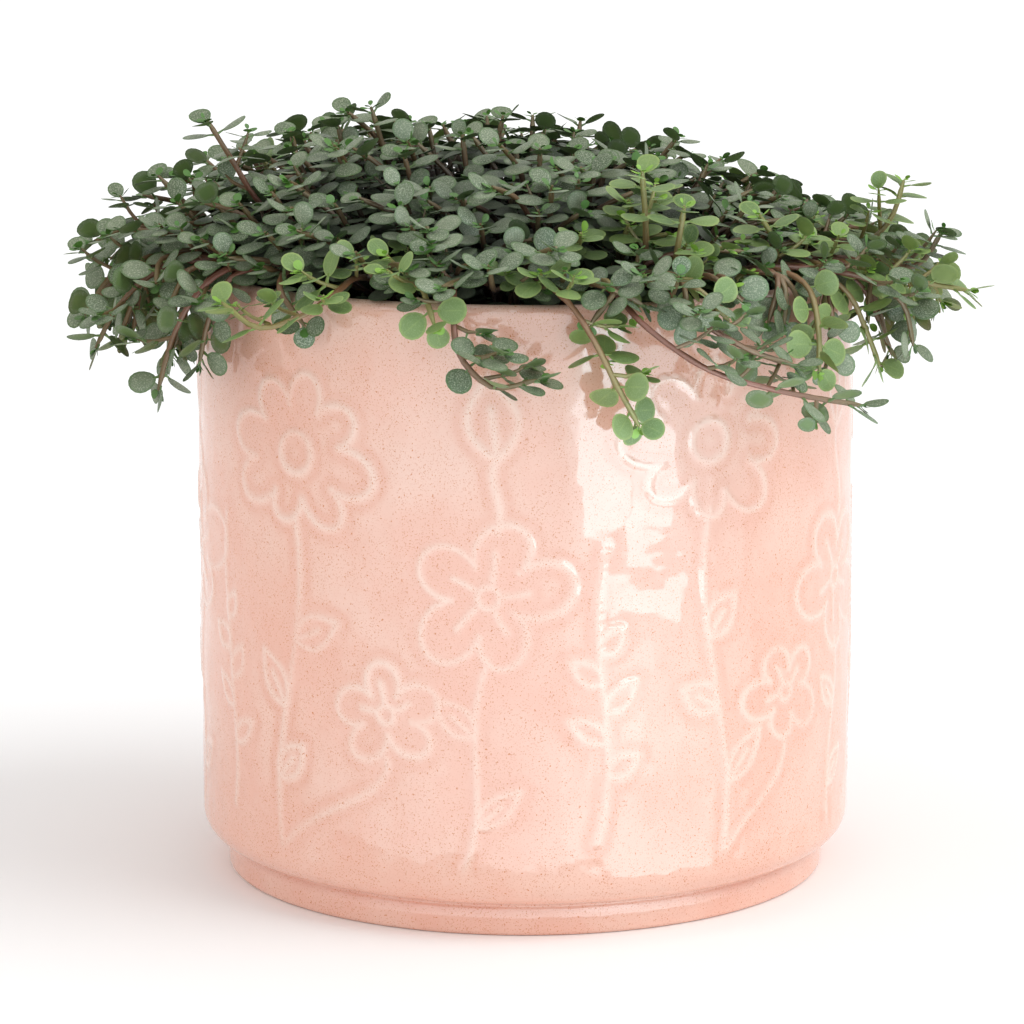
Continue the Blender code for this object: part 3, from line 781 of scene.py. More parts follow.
@dataclass
class FillGrowth:
    """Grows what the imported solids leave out: more leaves, more shoots and a fuller fringe.

    The fill's stems only stay clear of the pot, and its leaves of everything grown before them. A
    tuft's levels are pairs of scale and lean in degrees. A layer has a name, a number of shoots and
    the lowest and highest share of the mound's height that their tips reach. The lime shares are
    those of young shoots at the front right and elsewhere.
    """
    growth: Growth
    seed: int = 23
    clear: float = 0.06
    outward: float = 0.14
    habit: Habit = FILL_HABIT
    layers: tuple[tuple[str, int, float, float], ...] = (
        ("crown", 112, 0.74, 1.05), ("under", 105, 0.15, 0.72))
    fringe_pairs: int = 6
    mound_pairs: int = 5
    reach: float = 84.0
    base_share: float = 0.74
    spiral_start: float = 2.1
    spiral_offset: float = 0.4
    fork_turn: tuple[float, float] = (0.6, 1.4)
    fork_reach: tuple[float, float] = (9.0, 15.0)
    lime_shares: tuple[float, float] = (0.30, 0.06)
    fringe_base: tuple[float, float] = (52.0, 62.0)
    rim_zone: float = 68.0
    rim_rise: float = 4.0
    tuft: tuple[tuple[float, float], ...] = ((0.34, 48), (0.2, 64))
    twig_steps: tuple[float, ...] = (12.5, 19.0, 26.0, 33.0, 40.0, 48.0)
    twig_zone: float = 0.72
    twig_radii: tuple[float, float] = (0.5, 0.42)
    twig_tries: int = 8
    twig_pairs: int = 3

    def __post_init__(self) -> None:
        """Lets the stems that grow from now on through everything but the pot."""
        self.growth.clear = self.clear
        self.growth.outward = self.outward
        self.growth.blocks = Obstacles()
        self.growth.blocks.add(pot_shell())
        self.rng = random.Random(self.seed)

    def young_tips(self, shoot: Shoot) -> None:
        """Adds a tight tuft of small bright leaves to the end of each stem.

        Args:
            shoot: The shoot.
        """
        rng = self.rng
        for stem in shoot.stems:
            root, ahead = point_at(stem.line, line_length(stem.line) - 0.2)
            turn = rng.uniform(0, math.pi)
            for level, (size, lean) in enumerate(self.tuft):
                for half in (0, math.pi):
                    leaf = self.growth.leaf_try(root + ahead * 0.4 * level, ahead, turn + half,
                                                math.radians(lean + rng.uniform(-8, 8)), size, rng)
                    leaf.young = rng.uniform(0.7, 1.0)
                    shoot.leaves.append(leaf)
                turn += math.pi / 2

    def more_pairs(self, shoot: Shoot) -> None:
        """Adds pairs further down each stem, below the ones that the solids have.

        Args:
            shoot: The shoot.
        """
        own = Obstacles()
        own.add(*(leaf_shell(leaf, 0.0, GROW.root_share) for leaf in shoot.leaves))
        for number, stem in enumerate(shoot.stems):
            had = shoot.plan.pairs if number == 0 else GROW.branch_pairs
            more = range(had, min(had + 3, len(GROW.pair_steps)))
            self.growth.grow_leaves(shoot, stem, more, own, self.rng)

    def twigs(self, shoot: Shoot) -> None:
        """Adds short leafy twigs to the bare stretches of a packed shoot's main stem.

        Args:
            shoot: The shoot.
        """
        growth, rng = self.growth, self.rng
        stem = shoot.stems[0]
        length = line_length(stem.line)
        own = Obstacles()
        grown = []
        for back in self.twig_steps:
            if back > self.twig_zone * length:
                break
            root, ahead = point_at(stem.line, length - back)
            hint = Vector((rng.uniform(-1, 1), rng.uniform(-1, 1), rng.uniform(-0.2, 1.0)))
            away = (square_to(ahead, hint) + ahead * 0.7).normalized()
            reach = rng.uniform(6, 11)
            points = [root + away * 1.8, root + away * 0.6 * reach,
                      root + away * reach + Vector((0, 0, 1.2))]
            twig = growth.find_stem(points, self.twig_radii, rng, None, self.twig_tries)
            if twig:
                twig.line.insert(0, root)
                shoot.stems.append(twig)
                growth.grow_leaves(shoot, twig, range(self.twig_pairs), own, rng, self.habit.steps,
                                   rng.uniform(0.8, 0.98))
                grown.append(tube_shell(twig, 0.0))
        growth.obstacles.add(*grown, *(leaf_shell(leaf, 0.0) for leaf in shoot.leaves))

    def mound_plan(self, index: int, total: int, low: float, high: float) -> Plan:
        """A fill shoot whose tip lies anywhere between two shares of the mound's height.

        Args:
            index: The shoot's number on the spiral.
            total: How many shoots share the spiral.
            low: The lowest share of the height.
            high: The highest share of the height.

        Returns:
            The plan.
        """
        rng = self.rng
        tip, reach = spiral_tip(index, total, self.reach, self.spiral_start, self.spiral_offset)
        base = tip * min(self.base_share, GROW.base_radius / max(reach, 1.0))
        top = mound_height(tip.x, tip.y)
        height = POT.height - 1 + (top - POT.height) * rng.uniform(low, high)
        if reach > self.rim_zone:
            height = max(height, POT.height + self.rim_rise)
        middle = base.lerp(tip, 0.5)
        rise = max(0.4 * POT.soil_top + 0.6 * height, POT.soil_top + 6)
        route = [(base.x * 0.98, base.y * 0.98, POT.soil_top + 5), (middle.x, middle.y, rise),
                 (tip.x, tip.y, height)]
        aside = turned_flat(tip.normalized(), rng.choice((-1, 1)) * rng.uniform(*self.fork_turn))
        fork = tip * 0.95 + aside * rng.uniform(*self.fork_reach)
        lowest = POT.height + (self.rim_rise if fork.length > self.rim_zone else -4)
        branch = [(fork.x, fork.y, max(height + rng.uniform(-4, 3), lowest))]
        front_right = tip.x > 10 and tip.y < -30
        young = rng.random() < self.lime_shares[0 if front_right else 1]
        return Plan(f"fill_{index:03d}", (base.x, base.y), route, self.mound_pairs, young, branch)

    def fringe_plan(self, sector: Sector, index: int) -> Plan:
        """A shoot of the fringe: up from the soil near the rim, over it and down outside.

        Args:
            sector: The stretch of rim.
            index: The shoot's number in the stretch.

        Returns:
            The plan.
        """
        rng = self.rng
        share = (index + rng.uniform(0.2, 0.8)) / sector.count
        angle = math.radians(sector.start + (sector.end - sector.start) * share)
        out = Vector((math.sin(angle), -math.cos(angle)))
        drop = rng.uniform(*sector.drop)
        reach = rng.uniform(*sector.reach)
        turn = rng.uniform(-0.22, 0.22)
        end = turned_flat(out, turn)
        half = (out + end).normalized() * (80 + 0.5 * (reach - 80))
        route = [(*half, 145 - 0.3 * drop), (*(end * reach), POT.height + 1 - drop)]
        young = rng.random() < sector.lime_share
        base = tuple(out * rng.uniform(*self.fringe_base))
        return Plan(f"{sector.name}_{index:02d}", base, route, self.fringe_pairs, young)

    def grow_one(self, plan: Plan) -> Optional[Shoot]:
        """Grows one fill shoot with young tips, or nothing where it finds no room.

        Args:
            plan: The shoot's plan.

        Returns:
            The shoot, or None.
        """
        shoot = self.growth.grow_shoot(plan, self.rng, self.habit)
        if shoot:
            self.young_tips(shoot)
        return shoot

    def grow(self) -> dict[str, list[Shoot]]:
        """Grows all fill shoots.

        Returns:
            The shoots by the name of the piece that they are joined in.
        """
        groups: dict[str, list[Shoot]] = {}
        for sector in FRINGE:
            plans = [self.fringe_plan(sector, i) for i in range(sector.count)]
            groups["fringe_" + sector.name] = [s for s in map(self.grow_one, plans) if s]
        for layer, count, low, high in self.layers:
            for index in range(count):
                shoot = self.grow_one(self.mound_plan(index, count, low, high))
                if shoot:
                    x, y = shoot.plan.base
                    side = ("back_" if y > 0 else "front_") + ("right" if x > 0 else "left")
                    groups.setdefault(f"{layer}_{side}", []).append(shoot)
        return groups


@dataclass
class MeshParts:
    """Points, faces, face materials and point attributes gathered for one mesh."""
    points: list[np.ndarray] = field(default_factory=list)
    faces: list[np.ndarray] = field(default_factory=list)
    slots: list[np.ndarray] = field(default_factory=list)
    values: dict[str, list[np.ndarray]] = field(default_factory=dict)
    count: int = 0

    def add(self, points: np.ndarray, faces: np.ndarray, slot: int,
            **values: "np.ndarray | float") -> None:
        """Adds a patch of quads.

        Args:
            points: Its points, one row each, in millimetres.
            faces: Its quads, counted from the patch's own first point.
            slot: The material slot of all its faces.
            values: One number a point, or one for all, for each named attribute.
        """
        self.points.append(points)
        self.faces.append(faces + self.count)
        self.slots.append(np.full(len(faces), slot, dtype=np.int32))
        for name, value in values.items():
            self.values.setdefault(name, []).append(np.broadcast_to(value, len(points)))
        self.count += len(points)

    def mesh(self, name: str) -> bpy.types.Mesh:
        """Writes everything to a Blender mesh in metres with whole arrays.

        Args:
            name: The mesh's name.

        Returns:
            The mesh.
        """
        points = np.concatenate(self.points) * MM
        faces = np.concatenate(self.faces)
        mesh = bpy.data.meshes.new(name)
        mesh.vertices.add(len(points))
        mesh.vertices.foreach_set("co", points.astype(np.float32).ravel())
        mesh.loops.add(faces.size)
        mesh.loops.foreach_set("vertex_index", faces.astype(np.int32).ravel())
        mesh.polygons.add(len(faces))
        mesh.polygons.foreach_set("loop_start", np.arange(0, faces.size, 4, dtype=np.int32))
        mesh.polygons.foreach_set("material_index", np.concatenate(self.slots))
        mesh.update(calc_edges=True)
        for key, parts in self.values.items():
            layer = mesh.attributes.new(key, "FLOAT", "POINT")
            layer.data.foreach_set("value", np.concatenate(parts).astype(np.float32))
        mesh.shade_smooth()
        mesh.validate()
        return mesh

    def piece(self, name: str, *materials: bpy.types.Material) -> bpy.types.Object:
        """Makes an object of all the patches and puts it on the body.

        Args:
            name: The piece's name.
            materials: The materials of its slots.

        Returns:
            The piece.
        """
        mesh = self.mesh(name)
        for material in materials:
            mesh.materials.append(material)
        item = bpy.data.objects.new(name, mesh)
        bpy.context.scene.collection.objects.link(item)
        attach(item, "root")
        LOG.info("%s: %d faces", name, len(mesh.polygons))
        return item


def unit(vectors: np.ndarray) -> np.ndarray:
    """The rows at unit length."""
    return vectors / np.linalg.norm(vectors, axis=-1, keepdims=True)


def ring_quads(rings: int, sides: int, down: bool = False) -> np.ndarray:
    """Quads between rings of points that follow each other up, or down, and face outwards.

    Args:
        rings: How many rings there are.
        sides: How many points each has.
        down: Whether each ring lies below the one before it.

    Returns:
        The quads, one row each.
    """
    low, k = np.meshgrid(np.arange(rings - 1) * sides, np.arange(sides), indexing="ij")
    after = (k + 1) % sides
    quads = np.stack([low + k, low + after, low + sides + after, low + sides + k], axis=-1)
    return quads.reshape(-1, 4)[:, [0, 3, 2, 1] if down else [0, 1, 2, 3]]


def tube(line: np.ndarray, radii: np.ndarray, sides: int) -> tuple[np.ndarray, np.ndarray]:
    """A round tube: a circle square to the line at each of its points, joined and closed by quads.

    Args:
        line: The centre line, one row a point.
        radii: The radius at each point.
        sides: How many sides the tube has; it is even.

    Returns:
        The points and the quads.
    """
    ahead = unit(np.gradient(line, axis=0))
    hint = np.eye(3)[np.argmin(np.abs(ahead).max(axis=0))]
    across = unit(hint - ahead * (ahead @ hint)[:, None])
    other = np.cross(ahead, across)
    turn = np.arange(sides) * (2 * np.pi / sides)
    ring = (np.cos(turn)[None, :, None] * across[:, None]
            + np.sin(turn)[None, :, None] * other[:, None])
    points = (line[:, None] + ring * radii[:, None, None]).reshape(-1, 3)
    # Each end is closed by quads straight across its ring.
    cap = np.array([[i - 1, i, sides - 1 - i, sides - i] for i in range(1, sides // 2)])
    top = (len(line) - 1) * sides
    return points, np.concatenate([ring_quads(len(line), sides), cap[:, ::-1], cap + top])


@dataclass
class LeafRows:
    """The leaves of a piece as arrays, one row a leaf, with length and width as columns."""
    root: np.ndarray
    along: np.ndarray
    face: np.ndarray
    side: np.ndarray
    length: np.ndarray
    width: np.ndarray
    young: np.ndarray
    # deep: how much painted shade the leaf gets inside the mound.
    deep: np.ndarray

    @classmethod
    def of(cls, leaves: Sequence[Leaf]) -> "LeafRows":
        """Gathers the leaves.

        Args:
            leaves: The leaves, at least one.

        Returns:
            The arrays.
        """
        root, along, face = (np.array(vectors) for vectors in
                             zip(*((leaf.root, leaf.along, leaf.face) for leaf in leaves)))
        length, width, young, deep = np.array(
            [(leaf.length, leaf.width, leaf.young, mound_shade_depth(leaf.root)) for leaf in leaves]).T
        return cls(root, along, face, np.cross(face, along), length[:, None], width[:, None],
                   young, deep)


@dataclass
class LeafMaker:
    """Turns leaves into lens-shaped blades with short stalks, all of a piece's leaves at once."""
    rows: int = 4
    columns: int = 4
    thickness: float = 0.42
    above: float = 0.55
    below: float = 0.45
    rib_depth: float = 0.10
    rib_width: float = 0.16
    cup: tuple[float, float] = (-0.16, 0.13)
    droop: tuple[float, float] = (-0.02, 0.10)
    twist: tuple[float, float] = (-0.18, 0.18)
    stalk_share: float = 0.17
    stalk_overlap: float = 0.10
    stalk_radius: float = 0.34
    stalk_taper: tuple[float, float] = (1.15, 0.6)

    def __post_init__(self) -> None:
        """Presses a square grid into a disc, each coordinate less as the other grows."""
        a, b = np.meshgrid(np.linspace(-1, 1, self.rows + 1), np.linspace(-1, 1, self.columns + 1),
                           indexing="ij")
        inside = np.flatnonzero(((np.abs(a) < 1) & (np.abs(b) < 1)).ravel())
        x = (a * np.sqrt(1 - b ** 2 / 2)).ravel()
        y = (b * np.sqrt(1 - a ** 2 / 2)).ravel()
        self.x = np.concatenate([x, x[inside]])[None]
        self.y = np.concatenate([y, y[inside]])[None]
        self.under = np.concatenate([np.zeros(a.size), np.ones(len(inside))])
        index = np.arange(a.size).reshape(a.shape)
        top = np.stack([index[:-1, :-1], index[1:, :-1], index[1:, 1:], index[:-1, 1:]], axis=-1)
        top = top.reshape(-1, 4)
        below = np.arange(a.size)
        below[inside] = a.size + np.arange(len(inside))
        self.faces = np.concatenate([top, below[top][:, ::-1]])

    def add(self, parts: MeshParts, leaves: Sequence[Leaf], slot: int,
            rng: np.random.Generator) -> None:
        """Adds blades and stalks to a mesh.

        The outline is a disc stretched to the leaf's length and width, wider past its middle. The
        blade is cupped by the square of its width, droops by the square of its length, and is
        thickest in the middle.

        Args:
            parts: The mesh that takes them.
            leaves: The leaves.
            slot: Their material slot.
            rng: The source of small differences.
        """
        if not leaves:
            return
        rows, x, y, under = LeafRows.of(leaves), self.x, self.y, self.under
        n, size = len(leaves), len(under)
        length, half = rows.length, rows.width / 2
        edge = np.sqrt(np.clip(x ** 2 + y ** 2, 0, 1))
        full = 1 - edge ** 2
        stalk = self.stalk_share * length
        reach = stalk + (x + 1) / 2 * (length - stalk)
        breadth = y * half * (0.95 + 0.09 * x - 0.10 * np.clip(-x, 0, 1) ** 2)
        cup = rng.uniform(*self.cup, (n, 1))
        droop = rng.uniform(*self.droop, (n, 1))
        twist = rng.uniform(*self.twist, (n, 1))
        side = np.where(under, -self.below, self.above)
        body = self.thickness * (length / GROW.leaf_length) * full * side
        rib = -self.rib_depth * np.exp(-(y / self.rib_width) ** 2) * full * (1 - under)
        lift = (body + rib + cup * half * y ** 2 - droop * length * (x + 1) ** 2 / 4
                + twist * breadth * x * 0.5 - GROW.blade / 2)
        points = (rows.root[:, None] + rows.along[:, None] * reach[..., None]
                  + rows.side[:, None] * breadth[..., None] + rows.face[:, None] * lift[..., None])
        faces = self.faces[None] + (np.arange(n) * size)[:, None, None]
        tone = rng.uniform(0, 1, n)
        # The deep attribute carries the painted shade inside the mound.
        parts.add(points.reshape(-1, 3), faces.reshape(-1, 4), slot, tone=np.repeat(tone, size),
                  young=np.repeat(rows.young, size), under=np.tile(under, n),
                  margin=np.tile(edge[0], n), across=np.tile(y[0], n),
                  deep=np.repeat(rows.deep, size))
        self.add_stalks(parts, rows, slot, tone)

    def add_stalks(self, parts: MeshParts, rows: LeafRows, slot: int, tone: np.ndarray) -> None:
        """Adds a square stalk from each stem's middle to a little inside each blade.

        Args:
            parts: The mesh that takes them.
            rows: The leaves.
            slot: Their material slot.
            tone: Each leaf's own tone.
        """
        radius = self.stalk_radius * rows.length / GROW.leaf_length
        near = rows.root - rows.face * (GROW.blade / 2)
        far = near + rows.along * ((self.stalk_share + self.stalk_overlap) * rows.length)
        corners = [end + (rows.side * a + rows.face * b) * (radius * scale * 0.7)
                   for end, scale in zip((near, far), self.stalk_taper)
                   for a, b in ((1, 1), (-1, 1), (-1, -1), (1, -1))]
        points = np.stack(corners, axis=1)
        box = np.array([[4, 5, 1, 0], [5, 6, 2, 1], [6, 7, 3, 2], [7, 4, 0, 3],
                        [0, 1, 2, 3], [7, 6, 5, 4]])
        faces = box[None] + (np.arange(len(points)) * 8)[:, None, None]
        parts.add(points.reshape(-1, 3), faces.reshape(-1, 4), slot, tone=np.repeat(tone, 8),
                  young=np.repeat(rows.young, 8), under=1.0, margin=0.5, across=0.0,
                  deep=np.repeat(rows.deep, 8))


@dataclass
class FoliageMaker:
    """Builds the pieces of foliage from grown shoots."""
    finishes: dict[Tint, list[bpy.types.Material]]
    sides: int = 6
    spacing: float = 2.6
    swell: float = 0.22
    swell_reach: float = 1.1
    fresh_reach: float = 26.0
    sharp_angle: float = 75.0
    leaf_maker: LeafMaker = field(default_factory=LeafMaker)
    rng: np.random.Generator = field(default_factory=lambda: np.random.default_rng(5))

    def add_stem(self, parts: MeshParts, stem: Stem, slot: int) -> None:
        """Adds a stem: a tube that thins to its tip and swells a little at each pair of leaves.

        Args:
            parts: The mesh that takes it.
            stem: The stem.
            slot: Its material slot.
        """
        line = smooth_line(stem.line, self.spacing)
        points = np.array(line)
        steps = np.concatenate([[0], np.cumsum(np.linalg.norm(np.diff(points, axis=0), axis=1))])
        share = steps / steps[-1]
        back = steps[-1] - steps
        knots = np.array(GROW.pair_steps)
        swell = np.exp(-((back[:, None] - knots[None]) / self.swell_reach) ** 2).max(axis=1)
        radii = stem.start_radius + (stem.end_radius - stem.start_radius) * share
        radii = radii * (0.92 + self.swell * swell)
        radii[-1] *= 0.5
        shell, quads = tube(points, radii, self.sides)
        age = np.repeat(np.clip(back / self.fresh_reach, 0, 1), self.sides)
        # The deep attribute carries the painted shade inside the mound.
        deep = np.repeat([mound_shade_depth(place) for place in line], self.sides)
        parts.add(shell, quads, slot, tone=self.rng.uniform(), young=0.0, under=1 - age, margin=0.0,
                  across=0.0, deep=deep)

    def build(self, name: str, shoots: Sequence[Shoot]) -> bpy.types.Object:
        """Joins shoots in one piece, with a leaf and a stem finish for each colouring.

        Args:
            name: The piece's name.
            shoots: The shoots.

        Returns:
            The piece.
        """
        parts = MeshParts()
        for number, tint in enumerate(Tint):
            group = [shoot for shoot in shoots if shoot.plan.young == (tint is Tint.LIME)]
            leaves = [leaf for shoot in group for leaf in shoot.leaves]
            self.leaf_maker.add(parts, leaves, 2 * number, self.rng)
            for shoot in group:
                for stem in shoot.stems:
                    self.add_stem(parts, stem, 2 * number + 1)
        piece = parts.piece(name, *(material for tint in Tint for material in self.finishes[tint]))
        piece.data.set_sharp_from_angle(angle=math.radians(self.sharp_angle))
        return piece


@dataclass
class Socket:
    """A node's output that takes part in sums written as Python expressions."""
    nodes: "Nodes"
    link: bpy.types.NodeSocket

    def math(self, operation: str, *others: "Socket | float", clamp: bool = False) -> "Socket":
        """A Math node on this value and the others."""
        settings = {"operation": operation, "use_clamp": clamp}
        return self.nodes.add("ShaderNodeMath", settings, {0: self, **dict(enumerate(others, 1))})

    def __add__(self, other: "Socket | float") -> "Socket":
        """The sum of both."""
        return self.math("ADD", other)

    def __sub__(self, other: "Socket | float") -> "Socket":
        """This value less the other."""
        return self.math("SUBTRACT", other)

    def __mul__(self, other: "Socket | float") -> "Socket":
        """The product of both."""
        return self.math("MULTIPLY", other)

    def __rsub__(self, other: float) -> "Socket":
        """A number less this value."""
        return self.nodes.add("ShaderNodeMath", {"operation": "SUBTRACT"}, {0: other, 1: self})

    __radd__ = __add__
    __rmul__ = __mul__

    def clamp(self) -> "Socket":
        """The value held between 0 and 1."""
        return self.math("ADD", 0.0, clamp=True)

    def between(self, low: float, high: float) -> "Socket":
        """A smooth step: 0 at low and 1 at high.

        Args:
            low: The value that gives 0.
            high: The value that gives 1.

        Returns:
            The step.
        """
        settings = {"interpolation_type": "SMOOTHSTEP"}
        inputs = {"Value": self, "From Min": low, "From Max": high}
        return self.nodes.add("ShaderNodeMapRange", settings, inputs)


@dataclass
class Nodes:
    """A material's node tree and the one way that nodes are added to it."""
    name: str

    def __post_init__(self) -> None:
        """Makes the material."""
        self.material = bpy.data.materials.new(self.name)
        self.material.use_nodes = True
        self.tree = self.material.node_tree
        self.shader = self.tree.nodes["Principled BSDF"]

    def add(self, kind: str, settings: dict, inputs: dict, output: int | str = 0) -> Socket:
        """Adds a node.

        Args:
            kind: The node's type.
            settings: Its properties, which are set first.
            inputs: Values or sockets by the input's name or number.
            output: The output that is returned.

        Returns:
            The node's output.
        """
        node = self.tree.nodes.new(kind)
        for key, value in settings.items():
            setattr(node, key, value)
        for key, value in inputs.items():
            self.join(node.inputs[key], value)
        return Socket(self, node.outputs[output])

    def join(self, target: bpy.types.NodeSocket, value: "Socket | float | Sequence[float]") -> None:
        """Links a socket to an input, or sets a plain value on it.

        Args:
            target: The input.
            value: What it gets; a colour may leave out its alpha.
        """
        if isinstance(value, Socket):
            self.tree.links.new(value.link, target)
        elif isinstance(value, (int, float)):
            target.default_value = value
        else:
            alpha = (1.0,) if len(value) < len(target.default_value) else ()
            target.default_value = tuple(value) + alpha

    def attribute(self, name: str) -> Socket:
        """A number that the mesh carries at each point."""
        return self.add("ShaderNodeAttribute", {"attribute_name": name}, {}, "Fac")

    def place(self) -> Socket:
        """The place on the object, in metres."""
        return self.add("ShaderNodeTexCoord", {}, {}, "Object")

    def noise(self, scale: float, detail: float = 3.0, roughness: float = 0.55) -> Socket:
        """Soft noise over the object, about 0.5, with scale in waves a metre."""
        inputs = {"Vector": self.place(), "Scale": scale, "Detail": detail, "Roughness": roughness}
        return self.add("ShaderNodeTexNoise", {}, inputs, 0)

    def mix(self, factor: "Socket | float", a: "Socket | Triple", b: "Socket | Triple") -> Socket:
        """Two colours mixed by a factor."""
        return self.add("ShaderNodeMix", {"data_type": "RGBA"}, {0: factor, 6: a, 7: b}, 2)

    def bump(self, height: Socket, strength: float, distance: float) -> None:
        """Feeds the shader's normal from a height."""
        inputs = {"Height": height, "Strength": strength, "Distance": distance}
        self.join(self.shader.inputs["Normal"], self.add("ShaderNodeBump", {}, inputs))

    def finish(self, **inputs: "Socket | float | Sequence[float]") -> bpy.types.Material:
        """Sets the shader's inputs, named with underscores for spaces.

        Args:
            inputs: The values or sockets by name.

        Returns:
            The finished material.
        """
        for key, value in inputs.items():
            self.join(self.shader.inputs[key.replace("_", " ")], value)
        return self.material


def faded(colour: Triple, share: float) -> Triple:
    """A colour at a share of its brightness."""
    return tuple(share * part for part in colour)


@dataclass(frozen=True)
class LeafFinish:
    """A leaf's skin: silvery speckle over green, greener at the margin, plain green below, with
    painted shade deep in the mound.
    """
    name: str
    silver: Triple
    shade: Triple
    speckle: Triple
    margin: Triple
    below: Triple
    young: Triple
    speckle_share: float = 0.85
    rib_share: float = 0.25

    def material(self) -> bpy.types.Material:
        """The leaf's material.

        Returns:
            The material.
        """
        nodes = Nodes(self.name)
        tone = nodes.attribute("tone")
        margin = nodes.attribute("margin")
        fine = nodes.noise(3500, 2.0, 0.7)
        patch = nodes.noise(260, 2.0)
        body = nodes.mix((tone * 0.75 + patch * 0.5 - 0.1).clamp(), self.silver, self.shade)
        body = nodes.mix(fine.between(0.48, 0.64) * self.speckle_share, body, self.speckle)
        body = nodes.mix(margin.between(0.76, 1.0) * 0.75, body, self.margin)
        rib = 1 - nodes.attribute("across").math("ABSOLUTE").between(0.0, 0.10)
        body = nodes.mix(rib * (1 - margin) * self.rib_share, body, self.margin)
        below = nodes.mix(patch.between(0.35, 0.7) * 0.5, self.below, self.margin)
        colour = nodes.mix(nodes.attribute("under"), body, below)
        colour = nodes.mix(nodes.attribute("young"), colour, self.young)
        # Painted shade: leaves deep inside the mound are darkened towards a dim green.
        colour = nodes.mix(nodes.attribute("deep") * 0.78, colour, faded(self.shade, 0.22))
        nodes.bump(fine * 0.5 + patch, 0.25, 0.0004)
        return nodes.finish(
            Base_Color=colour, Roughness=0.48 + 0.12 * fine, Specular_IOR_Level=0.42,
            Subsurface_Weight=0.06, Subsurface_Radius=(0.0006, 0.0010, 0.0003))


@dataclass(frozen=True)
class StemFinish:
    """A stem's skin: red-brown low down and greener towards the tip, with fine streaks and painted
    shade deep in the mound.
    """
    name: str
    old: Triple
    fresh: Triple

    def material(self) -> bpy.types.Material:
        """The stem's material.

        Returns:
            The material.
        """
        nodes = Nodes(self.name)
        streak = nodes.noise(900, 4.0)
        tone = nodes.attribute("under") * 1.1 + nodes.attribute("tone") * 0.3
        colour = nodes.mix((tone + streak * 0.5 - 0.45).clamp(), self.old, self.fresh)
        dark = faded(self.old, 0.45)
        colour = nodes.mix(streak.between(0.55, 0.8) * 0.5, colour, dark)
        # Painted shade: stems deep inside the mound are darkened.
        colour = nodes.mix(nodes.attribute("deep") * 0.85, colour, faded(dark, 0.2))
        nodes.bump(streak, 0.4, 0.0003)
        return nodes.finish(Base_Color=colour, Roughness=0.5)


@dataclass(frozen=True)
class GlazeFinish:
    """A pink gloss glaze: paler on raised lines, darker beside them, with small brown specks."""
    name: str = "pink_glaze_speckled"
    base: Triple = (0.86, 0.485, 0.380)
    pale: Triple = (0.92, 0.67, 0.57)
    pooled: Triple = (0.78, 0.37, 0.26)
    speck: Triple = (0.60, 0.19, 0.05)

    def material(self) -> bpy.types.Material:
        """The glaze's material.

        Returns:
            The material.
        """
        nodes = Nodes(self.name)
        cloud = nodes.noise(38, 3.0)
        grain = nodes.noise(480, 3.0)
        middle = tuple(0.5 * a + 0.5 * b for a, b in zip(self.base, self.pale))
        colour = nodes.mix(cloud.between(0.3, 0.7), self.base, middle)
        pool = (nodes.attribute("pool") * 0.5 * cloud.between(0.38, 0.62)).clamp()
        colour = nodes.mix(pool, colour, self.pooled)
        colour = nodes.mix((nodes.attribute("raised") * 1.1).clamp(), colour, self.pale)
        colour = nodes.mix(grain.between(0.45, 0.75) * 0.12, colour, self.pale)
        where = nodes.noise(120, 1.0)
        fine = nodes.noise(3300, 1.0, 0.3).between(0.60, 0.69) * where.between(0.1, 0.55) * 0.55
        few = nodes.noise(2100, 1.0, 0.3).between(0.70, 0.76) * 0.85
        colour = nodes.mix(fine, colour, self.speck)
        colour = nodes.mix(few, colour, self.speck)
        nodes.bump(cloud * 0.7 + nodes.noise(95, 2.0) * 0.3, 0.7, 0.0014)
        return nodes.finish(Base_Color=colour, Roughness=0.05 + 0.06 * grain,
                            Specular_IOR_Level=0.5)


@dataclass(frozen=True)
class SoilFinish:
    """Dark potting mix with paler fibres."""
    name: str = "dark_potting_mix"
    dark: Triple = (0.012, 0.008, 0.006)
    light: Triple = (0.075, 0.045, 0.028)

    def material(self) -> bpy.types.Material:
        """The soil's material.

        Returns:
            The material.
        """
        nodes = Nodes(self.name)
        crumb = nodes.noise(520, 4.0, 0.65)
        colour = nodes.mix(crumb.between(0.42, 0.72), self.dark, self.light)
        nodes.bump(crumb, 0.8, 0.001)
        return nodes.finish(Base_Color=colour, Roughness=0.92, Specular_IOR_Level=0.2)


def bezier(points: Sequence[tuple[float, float]], count: int = 60) -> np.ndarray:
    """A cubic Bezier curve as an array of points.

    Args:
        points: Its four control points.
        count: How many points are returned.

    Returns:
        The points, one row each.
    """
    a, b, c, d = (np.array(point, dtype=float) for point in points)
    t = np.linspace(0, 1, count)[:, None]
    return a * (1 - t) ** 3 + 3 * b * t * (1 - t) ** 2 + 3 * c * t ** 2 * (1 - t) + d * t ** 3


